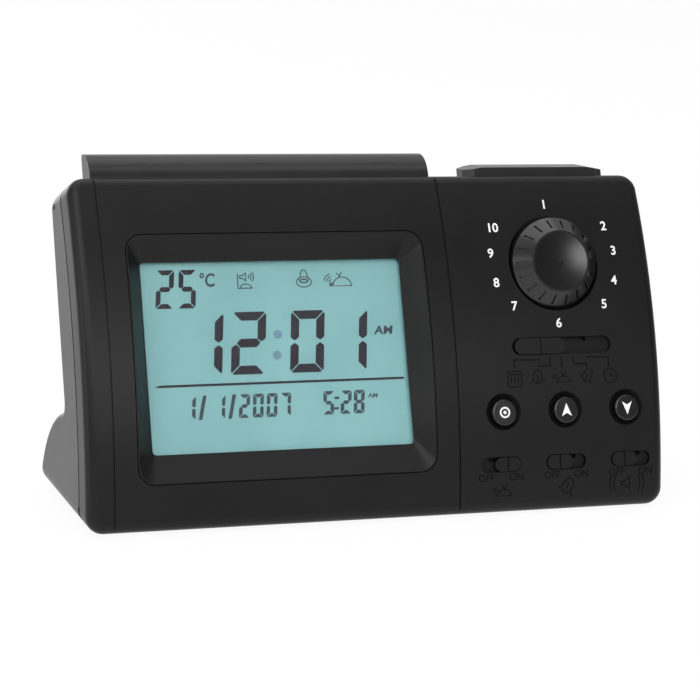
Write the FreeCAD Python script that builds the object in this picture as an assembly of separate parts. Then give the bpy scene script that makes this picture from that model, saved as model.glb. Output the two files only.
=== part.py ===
import FreeCAD, Part
import math
import os
from FreeCAD import Placement, Rotation, Vector

# Desk clock with a leaning display, a ten-way dial, push and slide controls and a battery bay in its foot.
# Row frame: millimetres, origin on the table under the middle of the case, +X to the right, +Y to the back.

os.makedirs("parts", exist_ok=True)

# ---- case ----
width = 172.0
depth = 57.0
face_radius = 200.0
face_centre_drop = 20.0
body_lean = 21.9
top_corner_z = 92.9
body_depth = depth * 0.3684
foot_radius = depth * 0.5965
foot_centre_drop = depth * 0.1
wall = 2.2
base_z = 0.6
corner_radius = 5.0
face_round = 3.0
rear_round = 2.0
neck_round = 2.5
rim_depth = 9.0
seam_gap = 0.8
lip_length = 2.0
lip_gap = 0.1
groove_width = 0.7
groove_depth = 0.5
left_groove_inset = 7.4
panel_width = width * 0.37384
left_groove_x = -width / 2 + left_groove_inset
panel_seam_x = width / 2 - panel_width
vent_radius = 0.9
vent_back = body_depth - 4.4
vent_drop = 4.7

# ---- fits ----
fit_gap = 0.1
slide_gap = 0.2
key_gap = 0.3
shaft_gap = 0.05

# ---- display ----
display_x = (left_groove_x + panel_seam_x) / 2
display_drop = 50.3
display_setback = 2.2
bezel_margin = 6.65
bevel_width = 5.35
bezel_half_width = (panel_seam_x - left_groove_x) / 2 - bezel_margin
window_half_width = bezel_half_width - bevel_width
window_half_height = 26.6
window_corner = 1.2
window_step = 0.15
bezel_above = 33.7
bezel_below = 35.1
bezel_corner = 5.0
bezel_gap = 0.25
bezel_land = 0.35
bezel_lip = 0.6
bezel_flange = 1.6
lens_margin = 3.0
lens_corner = 2.0
lens_thickness = 1.0
lcd_margin = 3.2
lcd_corner = 0.5
lcd_thickness = 2.8
light_guide_thickness = 3.0
strip_width = 2.0
frame_wall = 3.0
board_thickness = 1.6
board_post_radius = 1.9
board_post_gap = 0.6
chip_radius = 6.9
chip_height = 1.7
crystal_radius = 1.0
crystal_length = 6.0

# ---- control panel ----
control_offset = 0.84
control_x = (panel_seam_x + width / 2) / 2 + control_offset
control_lean = 17.5
knob_z = 69.25
board_setback = 9.4
board_seam_gap = 2.3
panel_floor = 1.5
cup_wall = 1.6
knob_recess_radius = 13.9
knob_recess_depth = 3.4
knob_radius = 13.1
knob_top_radius = 8.9
knob_skirt = 4.0
knob_cone = 4.4
knob_dish = 0.6
knob_grip_count = 18
knob_grip_width = 0.6
knob_grip_length = 3.6
knob_grip_depth = 0.5
shaft_radius = 3.0
rotor_radius = 11.5
rotor_thickness = 1.3
rotor_hub_radius = 9.0
wiper_thickness = 0.35
wiper_inner_radius = 5.0
detent_count = 10
detent_radius = 0.9
detent_leaf = 0.3
button_pitch = panel_width * 0.2986
button_down = 42.6
button_radius = 3.75
button_rise = 0.9
button_dish_radius = 5.3
button_dish_depth = 1.5
button_guide = 4.0
button_flange = 0.9
button_stem_radius = 1.8
dome_height = 3.0
dome_radius = 3.6
mode_down = 24.0
mode_slot_length = 31.0
mode_slot_height = 5.0
mode_knob_length = 15.9
mode_step = 3.4
mode_steps = 4
switch_pitch = panel_width * 0.3165
switch_down = 57.3
switch_slot_length = 12.5
switch_slot_height = 4.4
switch_knob_length = 7.8
switch_travel = 4.1
slot_depth = 1.3
slider_rise = 0.35
slit_height = 1.1
stem_length = 2.4
shutter_lap = 0.3
lever_width = 1.5
lever_depth = 0.9
mode_body_length = 24.0
switch_body_length = 10.0
switch_body_depth = 4.2
switch_body_height = 3.5

# ---- keys on top ----
key_front = 2.5
key_back = 10.6
key_skirt = 3.6
bar_left_x = left_groove_x - 0.2
bar_right_x = panel_seam_x - 0.7
bar_base = 0.5
bar_wall = 1.5
bar_travel = 1.5
stop_left_gap = 10.7
stop_right_gap = 9.2
stop_x = (panel_seam_x + stop_left_gap + width / 2 - stop_right_gap) / 2
stop_half_length = (panel_width - stop_left_gap - stop_right_gap) / 2
stop_front_height = 2.7
stop_back_height = 5.4
stop_chamfer_x = 3.0
stop_chamfer_y = 2.0
stop_end_bevel = 5.5
stop_end_drop = 0.9
stop_travel = 1.2
key_lip = 1.5
key_lip_thickness = 1.0
key_board_drop = 8.0
key_board_front = 2.4
key_board_back = body_depth - 6.0
key_board_gap = 1.2
key_board_half_length = width / 2 - wall - key_board_gap
key_post_radius = 1.8
key_post_back = 4.5
key_post_inset = 1.1
tact_size = 6.0
tact_height = 3.2
spring_radius = 2.0
spring_wire = 0.4
spring_turns = 5
coil_steps = 10

# ---- back, battery bay and sound ----
boss_radius = 2.5
boss_inset = 4.6
boss_x = width / 2 - boss_inset
boss_top_drop = 14.0
boss_low_drop = 52.0
boss_meet = 13.0
screw_radius = 1.1
screw_head_radius = 2.1
screw_head_height = 1.4
cell_radius = depth * 0.1272
cell_length = 50.5
cell_spacing = 0.8
cell_pitch = 2 * cell_radius + cell_spacing
cell_gap = 0.4
spring_room = 3.75
bay_half_length = cell_length / 2 + spring_room
bay_wall = 1.4
door_inset = 1.5
door_half_length = bay_half_length - door_inset
door_low_z = 3.2
door_thickness = 2.0
door_reach = 19.5
door_gap = 0.25
contact_plate = 0.4
battery_lead_climb = 3.2
key_lead_inset = 7.1
speaker_x = (panel_seam_x + width / 2) / 2
speaker_drop = 40.0
speaker_radius = 19.0
speaker_rim = 1.5
speaker_depth = body_depth - 13.4
magnet_radius = 9.0
magnet_height = speaker_depth * 0.42
grille_slot_width = 1.6
grille_pitch = 3.6
grille_radius = 15.0
pad_radius = 4.5
pad_sink = 0.8
pad_x = width / 2 - 14.0
pad_front_y = -depth / 2 + 16.5
pad_back_y = depth / 2 - 9.5
tab_x = width * 0.32
tab_y = -depth / 2 + 16.0

# ---- places worked out from the sizes above ----
lip_centre_z = base_z + face_round
face_centre_y = -depth / 2 + face_round
face_centre_y += math.sqrt((face_radius - face_round) ** 2 - (lip_centre_z + face_centre_drop) ** 2)
heel_centre_z = base_z + rear_round
foot_centre_y = depth / 2 - rear_round
foot_centre_y -= math.sqrt((foot_radius - rear_round) ** 2 - (heel_centre_z + foot_centre_drop) ** 2)
seam_radius = face_radius - rim_depth


def face_y(z):
    return face_centre_y - math.sqrt(face_radius ** 2 - (z + face_centre_drop) ** 2)


def foot_y(z, inset=0.0):
    return foot_centre_y + math.sqrt((foot_radius - inset) ** 2 - (z + foot_centre_drop) ** 2)


# case frame: x as in the row, y back along the top, z square to the top, origin at the sharp top front corner
case_frame = Placement(Vector(0, face_y(top_corner_z), top_corner_z), Rotation(Vector(1, 0, 0), -body_lean))
# display frame: y up the display, z out of it towards the viewer, origin at the middle of the window's height
display_origin = case_frame.multVec(Vector(0, display_setback, -display_drop))
display_frame = Placement(display_origin, Rotation(Vector(1, 0, 0), 90 - body_lean))
# control frame: the same for the control board, origin where the dial's axis meets the board
tilt = math.radians(control_lean)
outward = Vector(0, -math.cos(tilt), math.sin(tilt))
control_origin = Vector(control_x, face_y(knob_z), knob_z) - outward * board_setback
control_frame = Placement(control_origin, Rotation(Vector(1, 0, 0), 90 - control_lean))

rear_inner = display_setback - body_depth + wall
lens_front = -bezel_lip
lcd_front = lens_front - lens_thickness - 2 * fit_gap
guide_front = lcd_front - lcd_thickness - fit_gap
main_board_front = guide_front - light_guide_thickness - 2 * fit_gap
flange_back = lens_front - lens_thickness - fit_gap


def face_height(frame, y):
    """Height of the curved face over a frame's own plane, at y up that plane."""
    centre = frame.inverse().multVec(Vector(frame.Base.x, face_centre_y, -face_centre_drop))
    return centre.z + math.sqrt(face_radius ** 2 - (y - centre.y) ** 2)


# ---- small makers ----
def placed(shape, frame):
    copy = shape.copy()
    copy.Placement = frame.multiply(copy.Placement)
    return copy


def box(x0, x1, y0, y1, z0, z1):
    return Part.makeBox(x1 - x0, y1 - y0, z1 - z0, Vector(x0, y0, z0))


def disc(x, y, radius, z0, z1):
    return Part.makeCylinder(radius, z1 - z0, Vector(x, y, z0))


def cone(x, y, low_radius, high_radius, z0, z1):
    return Part.makeCone(low_radius, high_radius, z1 - z0, Vector(x, y, z0))


def ring(x, y, inner, outer, z0, z1):
    return disc(x, y, outer, z0, z1).cut(disc(x, y, inner, z0 - 1, z1 + 1))


def plate(x0, x1, y0, y1, radius, z0, z1):
    """A rounded rectangle in the frame's x and y, from z0 to z1."""
    r = min(radius, (x1 - x0) / 2, (y1 - y0) / 2)
    solid = box(x0 + r, x1 - r, y0, y1, z0, z1) if x1 - x0 > 2 * r + 1e-6 else None
    if y1 - y0 > 2 * r + 1e-6:
        middle = box(x0, x1, y0 + r, y1 - r, z0, z1)
        solid = middle if solid is None else solid.fuse(middle)
    corners = {(x, y) for x in (x0 + r, x1 - r) for y in (y0 + r, y1 - r)}
    rounds = [disc(x, y, r, z0, z1) for x, y in sorted(corners)]
    return (solid.fuse(rounds) if solid else rounds[0].fuse(rounds[1:])).removeSplitter()


def pill(x, y, length, height, z0, z1):
    return plate(x - length / 2, x + length / 2, y - height / 2, y + height / 2, height / 2, z0, z1)


def prism(points, x0, x1):
    """A polygon of (y, z) points drawn from x0 to x1."""
    corners = [Vector(x0, y, z) for y, z in points]
    return Part.Face(Part.makePolygon(corners + corners[:1])).extrude(Vector(x1 - x0, 0, 0))


def face_drum(radius):
    """Everything behind the face's arc when its radius is cut down to this one."""
    return Part.makeCylinder(radius, 2 * width, Vector(-width, face_centre_y, -face_centre_drop), Vector(1, 0, 0))


def joined(shapes):
    return shapes[0].fuse(shapes[1:]).removeSplitter()


def wire_tube(points, diameter):
    """A lead: straight runs joined by arcs as large as the runs allow, swept with a round section."""
    path = [Vector(*p) for p in points]
    edges = []
    start = path[0]
    for before, corner, after in zip(path, path[1:], path[2:]):
        back = (before - corner).normalize()
        ahead = (after - corner).normalize()
        run = min((before - corner).Length, (after - corner).Length)
        half = (math.pi - back.getAngle(ahead)) / 2
        cut = 0.45 * run
        radius = cut / math.tan(half)
        entry = corner + back * cut
        leave = corner + ahead * cut
        middle = corner + (back + ahead).normalize() * (radius / math.cos(half) - radius)
        edges.append(Part.LineSegment(start, entry).toShape())
        edges.append(Part.Arc(entry, middle, leave).toShape())
        start = leave
    edges.append(Part.LineSegment(start, path[-1]).toShape())
    spine = Part.Wire(edges)
    section = Part.Wire([Part.Circle(path[0], path[1] - path[0], diameter / 2).toShape()])
    return spine.makePipeShell([section], True, True)


def coil(radius, wire, height, turns):
    """A compression spring standing on the frame's plane, its helix made of short runs and arcs."""
    steps = coil_steps * turns
    turn = 2 * math.pi / coil_steps
    rise = (height - wire) / steps
    reach = radius / math.cos(turn / 2)
    points = [(radius, 0, wire / 2)]
    for k in range(steps):
        angle = (k + 0.5) * turn
        points.append((reach * math.cos(angle), reach * math.sin(angle), wire / 2 + rise * (k + 0.5)))
    points.append((radius, 0, height - wire / 2))
    return wire_tube(points, wire)


def save(name, shape):
    solids = shape.Solids
    result = solids[0] if len(solids) == 1 else Part.makeCompound(solids)
    result.exportStep("parts/%s.step" % name)
    low = result.BoundBox
    print("%-18s %d solid(s) %8.0f mm3  x %.1f..%.1f y %.1f..%.1f z %.1f..%.1f %s" % (
        name, len(solids), result.Volume, low.XMin, low.XMax, low.YMin, low.YMax, low.ZMin, low.ZMax,
        "" if result.isValid() else "NOT VALID"))


# ---- the case as a block, and its shells ----
def side_profile(inset):
    """The case seen from the side, drawn this far inside its skin."""
    bottom = base_z + inset
    face = face_radius - inset
    foot = foot_radius - inset

    def on_face(z):
        return Vector(0, face_centre_y - math.sqrt(face ** 2 - (z + face_centre_drop) ** 2), z)

    def on_foot(z):
        return Vector(0, foot_centre_y + math.sqrt(foot ** 2 - (z + foot_centre_drop) ** 2), z)

    # the top and the rear are straight in the case frame
    centre = case_frame.inverse().multVec(Vector(0, face_centre_y, -face_centre_drop))
    front_top = case_frame.multVec(Vector(0, centre.y - math.sqrt(face ** 2 - (inset + centre.z) ** 2), -inset))
    rear_top = case_frame.multVec(Vector(0, body_depth - inset, -inset))
    foot_centre = case_frame.inverse().multVec(Vector(0, foot_centre_y, -foot_centre_drop))
    reach = body_depth - inset - foot_centre.y
    neck = case_frame.multVec(Vector(0, body_depth - inset, foot_centre.z + math.sqrt(foot ** 2 - reach ** 2)))
    front_low = on_face(bottom)
    heel = on_foot(bottom)
    edges = [
        Part.LineSegment(front_low, heel).toShape(),
        Part.Arc(heel, on_foot((bottom + neck.z) / 2), neck).toShape(),
        Part.LineSegment(neck, rear_top).toShape(),
        Part.LineSegment(rear_top, front_top).toShape(),
        Part.Arc(front_top, on_face((bottom + front_top.z) / 2), front_low).toShape(),
    ]
    return Part.Face(Part.Wire(edges)), front_low, heel, neck, rear_top, front_top


def edges_along(shape, keep):
    return [edge for edge in shape.Edges if keep(edge)]


def near(point, target):
    return abs(point.y - target.y) < 0.02 and abs(point.z - target.z) < 0.02


def block(inset):
    """The whole case as one solid, this far inside its skin."""
    half = width / 2 - inset
    profile, front_low, heel, neck, rear_top, front_top = side_profile(inset)
    solid = profile.extrude(Vector(2 * half, 0, 0))
    solid.translate(Vector(-half, 0, 0))
    neck_edges = edges_along(solid, lambda e: near(e.CenterOfMass, neck))
    solid = solid.makeFillet(neck_round + inset, neck_edges)
    top_middle = (rear_top + front_top) * 0.5
    low_middle = (front_low + heel) * 0.5
    sides = edges_along(solid, lambda e: near(e.CenterOfMass, top_middle) or near(e.CenterOfMass, low_middle))
    sides = [e for e in sides if abs(abs(e.CenterOfMass.x) - half) < 0.01]
    solid = solid.makeFillet(max(corner_radius - inset, 0.5), sides)
    if inset == 0:
        solid = rounded_outline(solid, face_round, lambda p: abs(drum_distance(p) - face_radius) < 0.02)
        rear = rear_boundary(solid)
        solid = solid.makeFillet(rear_round, rear)
    return solid


def drum_distance(point):
    return math.hypot(point.y - face_centre_y, point.z + face_centre_drop)


def rounded_outline(solid, radius, on_surface):
    """Round every edge that lies wholly on the given surface."""
    def lies(edge):
        first, last = edge.ParameterRange
        return all(on_surface(edge.valueAt(first + (last - first) * k / 4)) for k in range(5))
    return solid.makeFillet(radius, edges_along(solid, lies))


def rear_boundary(solid):
    """The closed loop round the rear face, the neck and the foot."""
    def behind(point):
        local = case_frame.inverse().multVec(point)
        on_rear = abs(local.y - body_depth) < 0.02
        foot_distance = math.hypot(point.y - foot_centre_y, point.z + foot_centre_drop)
        return on_rear or abs(foot_distance - foot_radius) < 0.02

    def lies(edge):
        first, last = edge.ParameterRange
        ends = behind(edge.valueAt(first)) and behind(edge.valueAt(last))
        across = abs(edge.valueAt(first).x - edge.valueAt(last).x) > width / 2
        middle = edge.valueAt((first + last) / 2)
        neck_side = abs(abs(middle.x) - width / 2) < 0.02
        if across:
            at_neck = abs(middle.z - neck_height) < 3 * neck_round
            return ends and not at_neck
        return ends and (behind(middle) or neck_side)
    neck_height = side_profile(0.0)[3].z
    return edges_along(solid, lies)


shell = block(0.0).cut(block(wall))
middle_block = block(wall / 2)
inner_block = block(wall)


# ---- places and outlines on the panel ----
def on_panel(shape):
    return placed(shape, control_frame)


def on_display(shape):
    return placed(shape, display_frame)


def on_case(shape):
    return placed(shape, case_frame)


def layer(outline, shallow, deep):
    """The part of a prism that lies between two depths under the curved face."""
    return outline.common(face_drum(face_radius - shallow)).cut(face_drum(face_radius - deep))


def mount_post(frame, x, y, radius, low):
    """A post from a board up to the face's wall."""
    return placed(disc(x, y, radius, low, low + 40), frame).common(face_drum(face_radius - wall / 2))


def screw(x, y, shank, head, head_height, length):
    """A pan-head screw standing on its point: head at z 0 and below, shank upwards."""
    return disc(x, y, head, -head_height, 0).fuse(disc(x, y, shank, 0, length)).removeSplitter()


board_hole = screw_radius - 0.2
board_left = panel_seam_x + board_seam_gap - control_x
board_right = boss_x - boss_radius - board_post_gap - control_x
board_low = -switch_down - 6.2
board_high = 14.0
post_rows = (board_high - 4.0, -mode_down - 9.0, -button_down - 7.4)
board_screw_holes = [(x, y) for y in post_rows[:2] for x in (board_left + 2.7, board_right - 2.1)]
board_screw_holes += [(side * switch_pitch * 0.477, post_rows[2]) for side in (-1, 1)]
main_post_x = bezel_half_width + bezel_flange + board_post_gap + board_post_radius
main_post_y = window_half_height - 0.6
main_screw_holes = [(display_x + sx * main_post_x, sy * main_post_y) for sx in (-1, 1) for sy in (-1, 1)]
key_end = key_board_half_length - key_post_inset
key_post_x = [-key_end, (bar_right_x + stop_x - stop_half_length) / 2, key_end]
boss_places = [(sx * boss_x, -drop) for sx in (-1, 1) for drop in (boss_top_drop, boss_low_drop)]

# ---- front shell ----
lip_zone = face_drum(seam_radius + lip_length + slide_gap)
front_shell = shell.cut(face_drum(seam_radius)).cut(middle_block.common(lip_zone))
front_wall_zone = face_drum(face_radius - wall / 2)

# display opening and its collar
bezel_left = display_x - bezel_half_width
bezel_right = display_x + bezel_half_width


def bezel_outline(grow, z0, z1):
    corner = bezel_corner + grow
    return on_display(plate(bezel_left - grow, bezel_right + grow, -bezel_below - grow, bezel_above + grow,
                            corner, z0, z1))


collar = bezel_outline(bezel_flange, fit_gap, 14).common(front_wall_zone)
front_shell = front_shell.fuse(collar).cut(bezel_outline(0, -1, 16))
front_shell = front_shell.cut(bezel_outline(bezel_flange + slide_gap, flange_back - 1, shaft_gap))

# dial recess
face_at_dial = face_height(control_frame, 0)
dial_floor = face_at_dial - knob_recess_depth
dial_cup = on_panel(disc(0, 0, knob_recess_radius + cup_wall, dial_floor - panel_floor, 20))
front_shell = front_shell.fuse(dial_cup.common(front_wall_zone))
front_shell = front_shell.cut(on_panel(disc(0, 0, knob_recess_radius, dial_floor, 20)))
front_shell = front_shell.cut(on_panel(disc(0, 0, shaft_radius + shaft_gap, dial_floor - 5, 20)))

# ---- sliders ----
slider_foot = 0.8
foot_top = slot_depth + panel_floor + fit_gap
lever_block_low = 1.2
lever_block_height = 1.2
lever_block_width = 3.0


class Slider:
    """A sliding control: its slot in the face, the knob in it, and the switch behind."""

    def __init__(self, x, down, slot_length, slot_height, knob_length, travel, rest, body):
        self.x = x
        self.y = -down
        self.slot = (slot_length, slot_height)
        self.knob_length = knob_length
        self.travel = travel
        self.at = x + rest
        self.body = body
        self.stem_y = self.y + slot_height / 2 - slit_height / 2 - fit_gap
        self.under = face_height(control_frame, self.stem_y) - foot_top - slider_foot

    def cup(self):
        length, height = self.slot
        outline = on_panel(pill(self.x, self.y, length + 2 * cup_wall, height + 2 * cup_wall, 0, 20))
        return layer(outline, wall / 2, slot_depth + panel_floor)

    def openings(self):
        recess = on_panel(pill(self.x, self.y, self.slot[0], self.slot[1], 0, 20))
        recess = recess.cut(face_drum(face_radius - slot_depth))
        reach = self.travel / 2 + stem_length / 2 + slide_gap
        slit = on_panel(box(self.x - reach, self.x + reach, self.stem_y - slit_height / 2,
                            self.stem_y + slit_height / 2, self.under, 20))
        return recess.fuse(slit)

    def knob(self):
        height = self.slot[1] - 2 * slide_gap
        top = layer(on_panel(pill(self.at, self.y, self.knob_length, height, 0, 20)),
                    -slider_rise, slot_depth - fit_gap)
        line = on_panel(box(self.at - 0.3, self.at + 0.3, self.y - height, self.y + height, 0, 20))
        top = top.cut(line.cut(face_drum(face_radius + slider_rise - 0.4)))
        half = slit_height / 2 - fit_gap
        stem = on_panel(box(self.at - stem_length / 2, self.at + stem_length / 2, self.stem_y - half,
                            self.stem_y + half, 0, 20))
        stem = layer(stem, slot_depth - 0.5, foot_top + slider_foot)
        shutter = self.travel + stem_length / 2 + slide_gap + shutter_lap
        foot = on_panel(box(self.at - shutter, self.at + shutter,
                            self.stem_y - half - 0.8, self.stem_y + half + 0.8, 0, 20))
        foot = layer(foot, foot_top, foot_top + slider_foot)
        parts = [top, stem, foot]
        for side in (-1, 1):
            middle = self.at + side * (lever_width / 2 + shaft_gap + 0.45)
            prong = on_panel(box(middle - 0.45, middle + 0.45, self.stem_y - 0.9, self.stem_y + 0.9,
                                 self.body[2] + 0.3, 20))
            parts.append(prong.common(face_drum(face_radius - foot_top - 0.2)))
        return joined(parts)

    def lever(self):
        stem = box(self.at - lever_width / 2, self.at + lever_width / 2, self.stem_y - lever_depth / 2,
                   self.stem_y + lever_depth / 2, lever_block_low, self.under - 0.3)
        base = box(self.at - lever_block_width / 2, self.at + lever_block_width / 2, self.stem_y - 1.0,
                   self.stem_y + 1.0, lever_block_low, lever_block_low + lever_block_height)
        return on_panel(joined([stem, base]))

    def switch(self):
        length, across, height = self.body
        solid = box(self.x - length / 2, self.x + length / 2, self.stem_y - across / 2,
                    self.stem_y + across / 2, 0, height)
        reach = self.travel / 2 + lever_block_width / 2 + fit_gap
        room = box(self.x - reach, self.x + reach, self.stem_y - 1.0 - fit_gap, self.stem_y + 1.0 + fit_gap,
                   lever_block_low - fit_gap, lever_block_low + lever_block_height + fit_gap)
        reach = self.travel / 2 + lever_width / 2 + fit_gap
        slit = box(self.x - reach, self.x + reach, self.stem_y - lever_depth / 2 - fit_gap,
                   self.stem_y + lever_depth / 2 + fit_gap, lever_block_low, height + 1)
        return on_panel(solid.cut(room).cut(slit))


mode_travel = mode_step * mode_steps
mode_body = (mode_body_length, 4.6, 4.0)
switch_body = (switch_body_length, switch_body_depth, switch_body_height)
sliders = {
    "mode": Slider(0, mode_down, mode_slot_length, mode_slot_height, mode_knob_length, mode_travel,
                   -mode_travel / 2, mode_body),
    "azan": Slider(-switch_pitch, switch_down, switch_slot_length, switch_slot_height, switch_knob_length,
                   switch_travel, switch_travel / 2, switch_body),
    "alarm": Slider(0, switch_down, switch_slot_length, switch_slot_height, switch_knob_length,
                    switch_travel, -switch_travel / 2, switch_body),
    "sound": Slider(switch_pitch, switch_down, switch_slot_length, switch_slot_height, switch_knob_length,
                    switch_travel, -switch_travel / 2, switch_body),
}
for slider in sliders.values():
    front_shell = front_shell.fuse(slider.cup())
for slider in sliders.values():
    front_shell = front_shell.cut(slider.openings())

# ---- push buttons ----
button_face = face_height(control_frame, -button_down)
button_ledge = button_face - button_dish_depth
button_hole = button_radius + slide_gap
flange_radius = button_radius + 0.85
flange_top = button_ledge - button_guide - fit_gap
button_names = {"set": -button_pitch, "up": 0.0, "down": button_pitch}
for x in button_names.values():
    cup = on_panel(disc(x, -button_down, button_dish_radius + cup_wall, button_ledge - panel_floor, 20))
    guide = on_panel(disc(x, -button_down, button_hole + 1.2, button_ledge - button_guide, button_ledge))
    front_shell = front_shell.fuse([cup.common(front_wall_zone), guide])
for x in button_names.values():
    slope = (button_dish_radius - button_hole - 0.15) / button_dish_depth
    dish = cone(x, -button_down, button_hole + 0.15, button_dish_radius + slope, button_ledge, button_face + 1)
    hole = disc(x, -button_down, button_hole, button_ledge - 8, button_face + 1)
    front_shell = front_shell.cut(on_panel(dish.fuse(hole)))

# posts, bosses, base tabs, grooves
posts = [mount_post(control_frame, x, y, 2.0, 0.0) for x, y in board_screw_holes]
posts += [mount_post(display_frame, x, y, board_post_radius, main_board_front) for x, y in main_screw_holes]
for x in key_post_x:
    posts.append(on_case(disc(x, key_post_back, key_post_radius, -key_board_drop, 2)).common(middle_block))
for x, n in boss_places:
    bar = on_display(disc(x, n + display_drop, boss_radius, display_setback - boss_meet, 20))
    posts.append(bar.common(front_wall_zone))
tab_low = base_z + wall + fit_gap
tab_boss = 2.6
seam_front_y = face_y(base_z + wall) + rim_depth
for side in (-1, 1):
    x = side * tab_x
    posts.append(box(x - 4, x + 4, face_y(tab_low) + wall / 2, tab_y, tab_low, tab_low + 2)
                 .common(front_wall_zone))
    posts.append(box(x - 4, x + 4, face_y(tab_low) + wall / 2, seam_front_y - lip_length - 1.0,
                     base_z + wall / 2, tab_low + 1).common(front_wall_zone))
    posts.append(disc(x, tab_y, tab_boss, tab_low, tab_low + 6))
front_shell = front_shell.fuse(posts)
tools = []
for x, y in board_screw_holes:
    tools.append(on_panel(disc(x, y, board_hole + shaft_gap, -1, 5.5)))
for x, y in main_screw_holes:
    tools.append(on_display(disc(x, y, board_hole + shaft_gap, main_board_front - 1, main_board_front + 5.5)))
for x in key_post_x:
    tools.append(on_case(disc(x, key_post_back, board_hole + shaft_gap, -key_board_drop - 1, -key_board_drop + 4)))
for x, n in boss_places:
    meet = display_setback - boss_meet
    tools.append(on_display(disc(x, n + display_drop, screw_radius + shaft_gap, meet - 1, meet + 7)))
for side in (-1, 1):
    tools.append(disc(side * tab_x, tab_y, screw_radius + shaft_gap, tab_low - 1, tab_low + 5.2))
for x in (left_groove_x, panel_seam_x):
    strip = box(x - groove_width / 2, x + groove_width / 2, -depth, depth, -1, 2 * top_corner_z)
    tools.append(strip.cut(face_drum(face_radius - groove_depth)))
front_shell = front_shell.cut(tools)

# key openings through the top of both shells
bar_opening = on_case(box(bar_left_x - key_gap, bar_right_x + key_gap, key_front - key_gap, key_back + key_gap,
                          -wall - 1, 9))
stop_opening = on_case(box(stop_x - stop_half_length - key_gap, stop_x + stop_half_length + key_gap,
                           key_front - key_gap, key_back + key_gap, -wall - 1, 9))
front_shell = front_shell.cut([bar_opening, stop_opening])
save("front_shell", front_shell)

# ---- display bezel with its funnel ----
bezel_body = bezel_outline(-bezel_gap, flange_back, 16).common(face_drum(face_radius))
bezel_foot = bezel_outline(bezel_flange, flange_back, 0)


def outline_points(half_left, half_right, low, high, radius):
    """Corner centres of a rounded rectangle and the side points between them, anticlockwise."""
    centres = [(half_right - radius, low + radius, -90), (half_right - radius, high - radius, 0),
               (half_left + radius, high - radius, 90), (half_left + radius, low + radius, 180)]
    arcs = []
    for cx, cy, start in centres:
        arcs.append([(cx + radius * math.cos(math.radians(start + 15 * k)),
                      cy + radius * math.sin(math.radians(start + 15 * k))) for k in range(7)])
    rows = []
    for k in range(4):
        rows.append(arcs[k])
        end = arcs[k][-1]
        nxt = arcs[(k + 1) % 4][0]
        rows.append([(end[0] + (nxt[0] - end[0]) * j / 8, end[1] + (nxt[1] - end[1]) * j / 8) for j in range(9)])
    return rows


def funnel():
    """The tapering space between the window and the bezel's front edge on the curved face."""
    edge = bezel_gap + bezel_land
    half_x = window_half_width + window_step
    half_y = window_half_height + window_step
    low_rows = outline_points(display_x - half_x, display_x + half_x, -half_y, half_y, window_corner + window_step)
    high_rows = outline_points(bezel_left + edge, bezel_right - edge, -bezel_below + edge, bezel_above - edge,
                               bezel_corner - edge)
    stretch = 1.15
    low_edges = []
    high_edges = []
    for low_row, high_row in zip(low_rows, high_rows):
        lows = [Vector(x, y, 0) for x, y in low_row]
        highs = []
        for start, (x, y) in zip(lows, high_row):
            top = Vector(x, y, face_height(display_frame, y))
            highs.append(start + (top - start) * stretch)
        low_curve = Part.BSplineCurve()
        low_curve.interpolate(lows)
        high_curve = Part.BSplineCurve()
        high_curve.interpolate(highs)
        low_edges.append(low_curve.toShape())
        high_edges.append(high_curve.toShape())
    faces = [Part.makeRuledSurface(a, b) for a, b in zip(low_edges, high_edges)]
    faces.append(Part.Face(Part.Wire(low_edges)))
    faces.append(Part.makeFilledFace(high_edges))
    sewn = Part.makeShell(faces)
    sewn.sewShape()
    solid = Part.makeSolid(sewn)
    if solid.Volume < 0:
        solid.reverse()
    return solid


def window_plate(grow, radius, z0, z1):
    return plate(display_x - window_half_width - grow, display_x + window_half_width + grow,
                 -window_half_height - grow, window_half_height + grow, radius, z0, z1)


lens_pocket = on_display(window_plate(lens_margin, lens_corner, flange_back - 1, lens_front))
display_bezel = bezel_body.fuse(bezel_foot).cut(on_display(funnel()))
display_bezel = display_bezel.cut(on_display(window_plate(0, window_corner, lens_front - 1, 0.5)))
display_bezel = display_bezel.cut(lens_pocket)
save("display_bezel", display_bezel)

# ---- display stack ----
save("lens", on_display(window_plate(lens_margin - fit_gap, lens_corner - fit_gap,
                                     lens_front - shaft_gap - lens_thickness,
                                     lens_front - shaft_gap)))
save("lcd_panel", on_display(window_plate(lcd_margin, lcd_corner, lcd_front - lcd_thickness, lcd_front)))
lcd_half_height = window_half_height + lcd_margin
guide_half = lcd_half_height - strip_width - 0.4
save("light_guide", on_display(box(display_x - window_half_width - 2, display_x + window_half_width + 2,
                                   -guide_half, guide_half, guide_front - light_guide_thickness, guide_front)))
strips = []
for side in (-1, 1):
    near_y = side * (lcd_half_height - 0.1)
    far_y = side * (lcd_half_height - 0.1 - strip_width)
    strips.append(box(display_x - window_half_width, display_x + window_half_width, min(near_y, far_y),
                      max(near_y, far_y), main_board_front, lcd_front - lcd_thickness))
save("contact_strips", on_display(Part.makeCompound(strips)))
frame_hole = window_plate(lcd_margin + fit_gap, lcd_corner + fit_gap, main_board_front - 1, 1)
frame_ring = window_plate(lcd_margin + fit_gap + frame_wall, lens_corner, main_board_front + shaft_gap, lcd_front)
save("lcd_frame", on_display(frame_ring.cut(frame_hole)))
main_half_x = main_post_x + board_post_radius
main_half_y = lcd_half_height + frame_wall + 0.6
main_back = main_board_front - board_thickness
main_board = box(display_x - main_half_x, display_x + main_half_x, -main_half_y, main_half_y, main_back,
                 main_board_front)
main_board = main_board.cut([disc(x, y, board_hole + fit_gap, main_back - 1, 0) for x, y in main_screw_holes])
save("main_board", on_display(main_board))
chip_ball = (chip_radius ** 2 + chip_height ** 2) / (2 * chip_height)
chip_x = display_x - chip_radius
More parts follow.
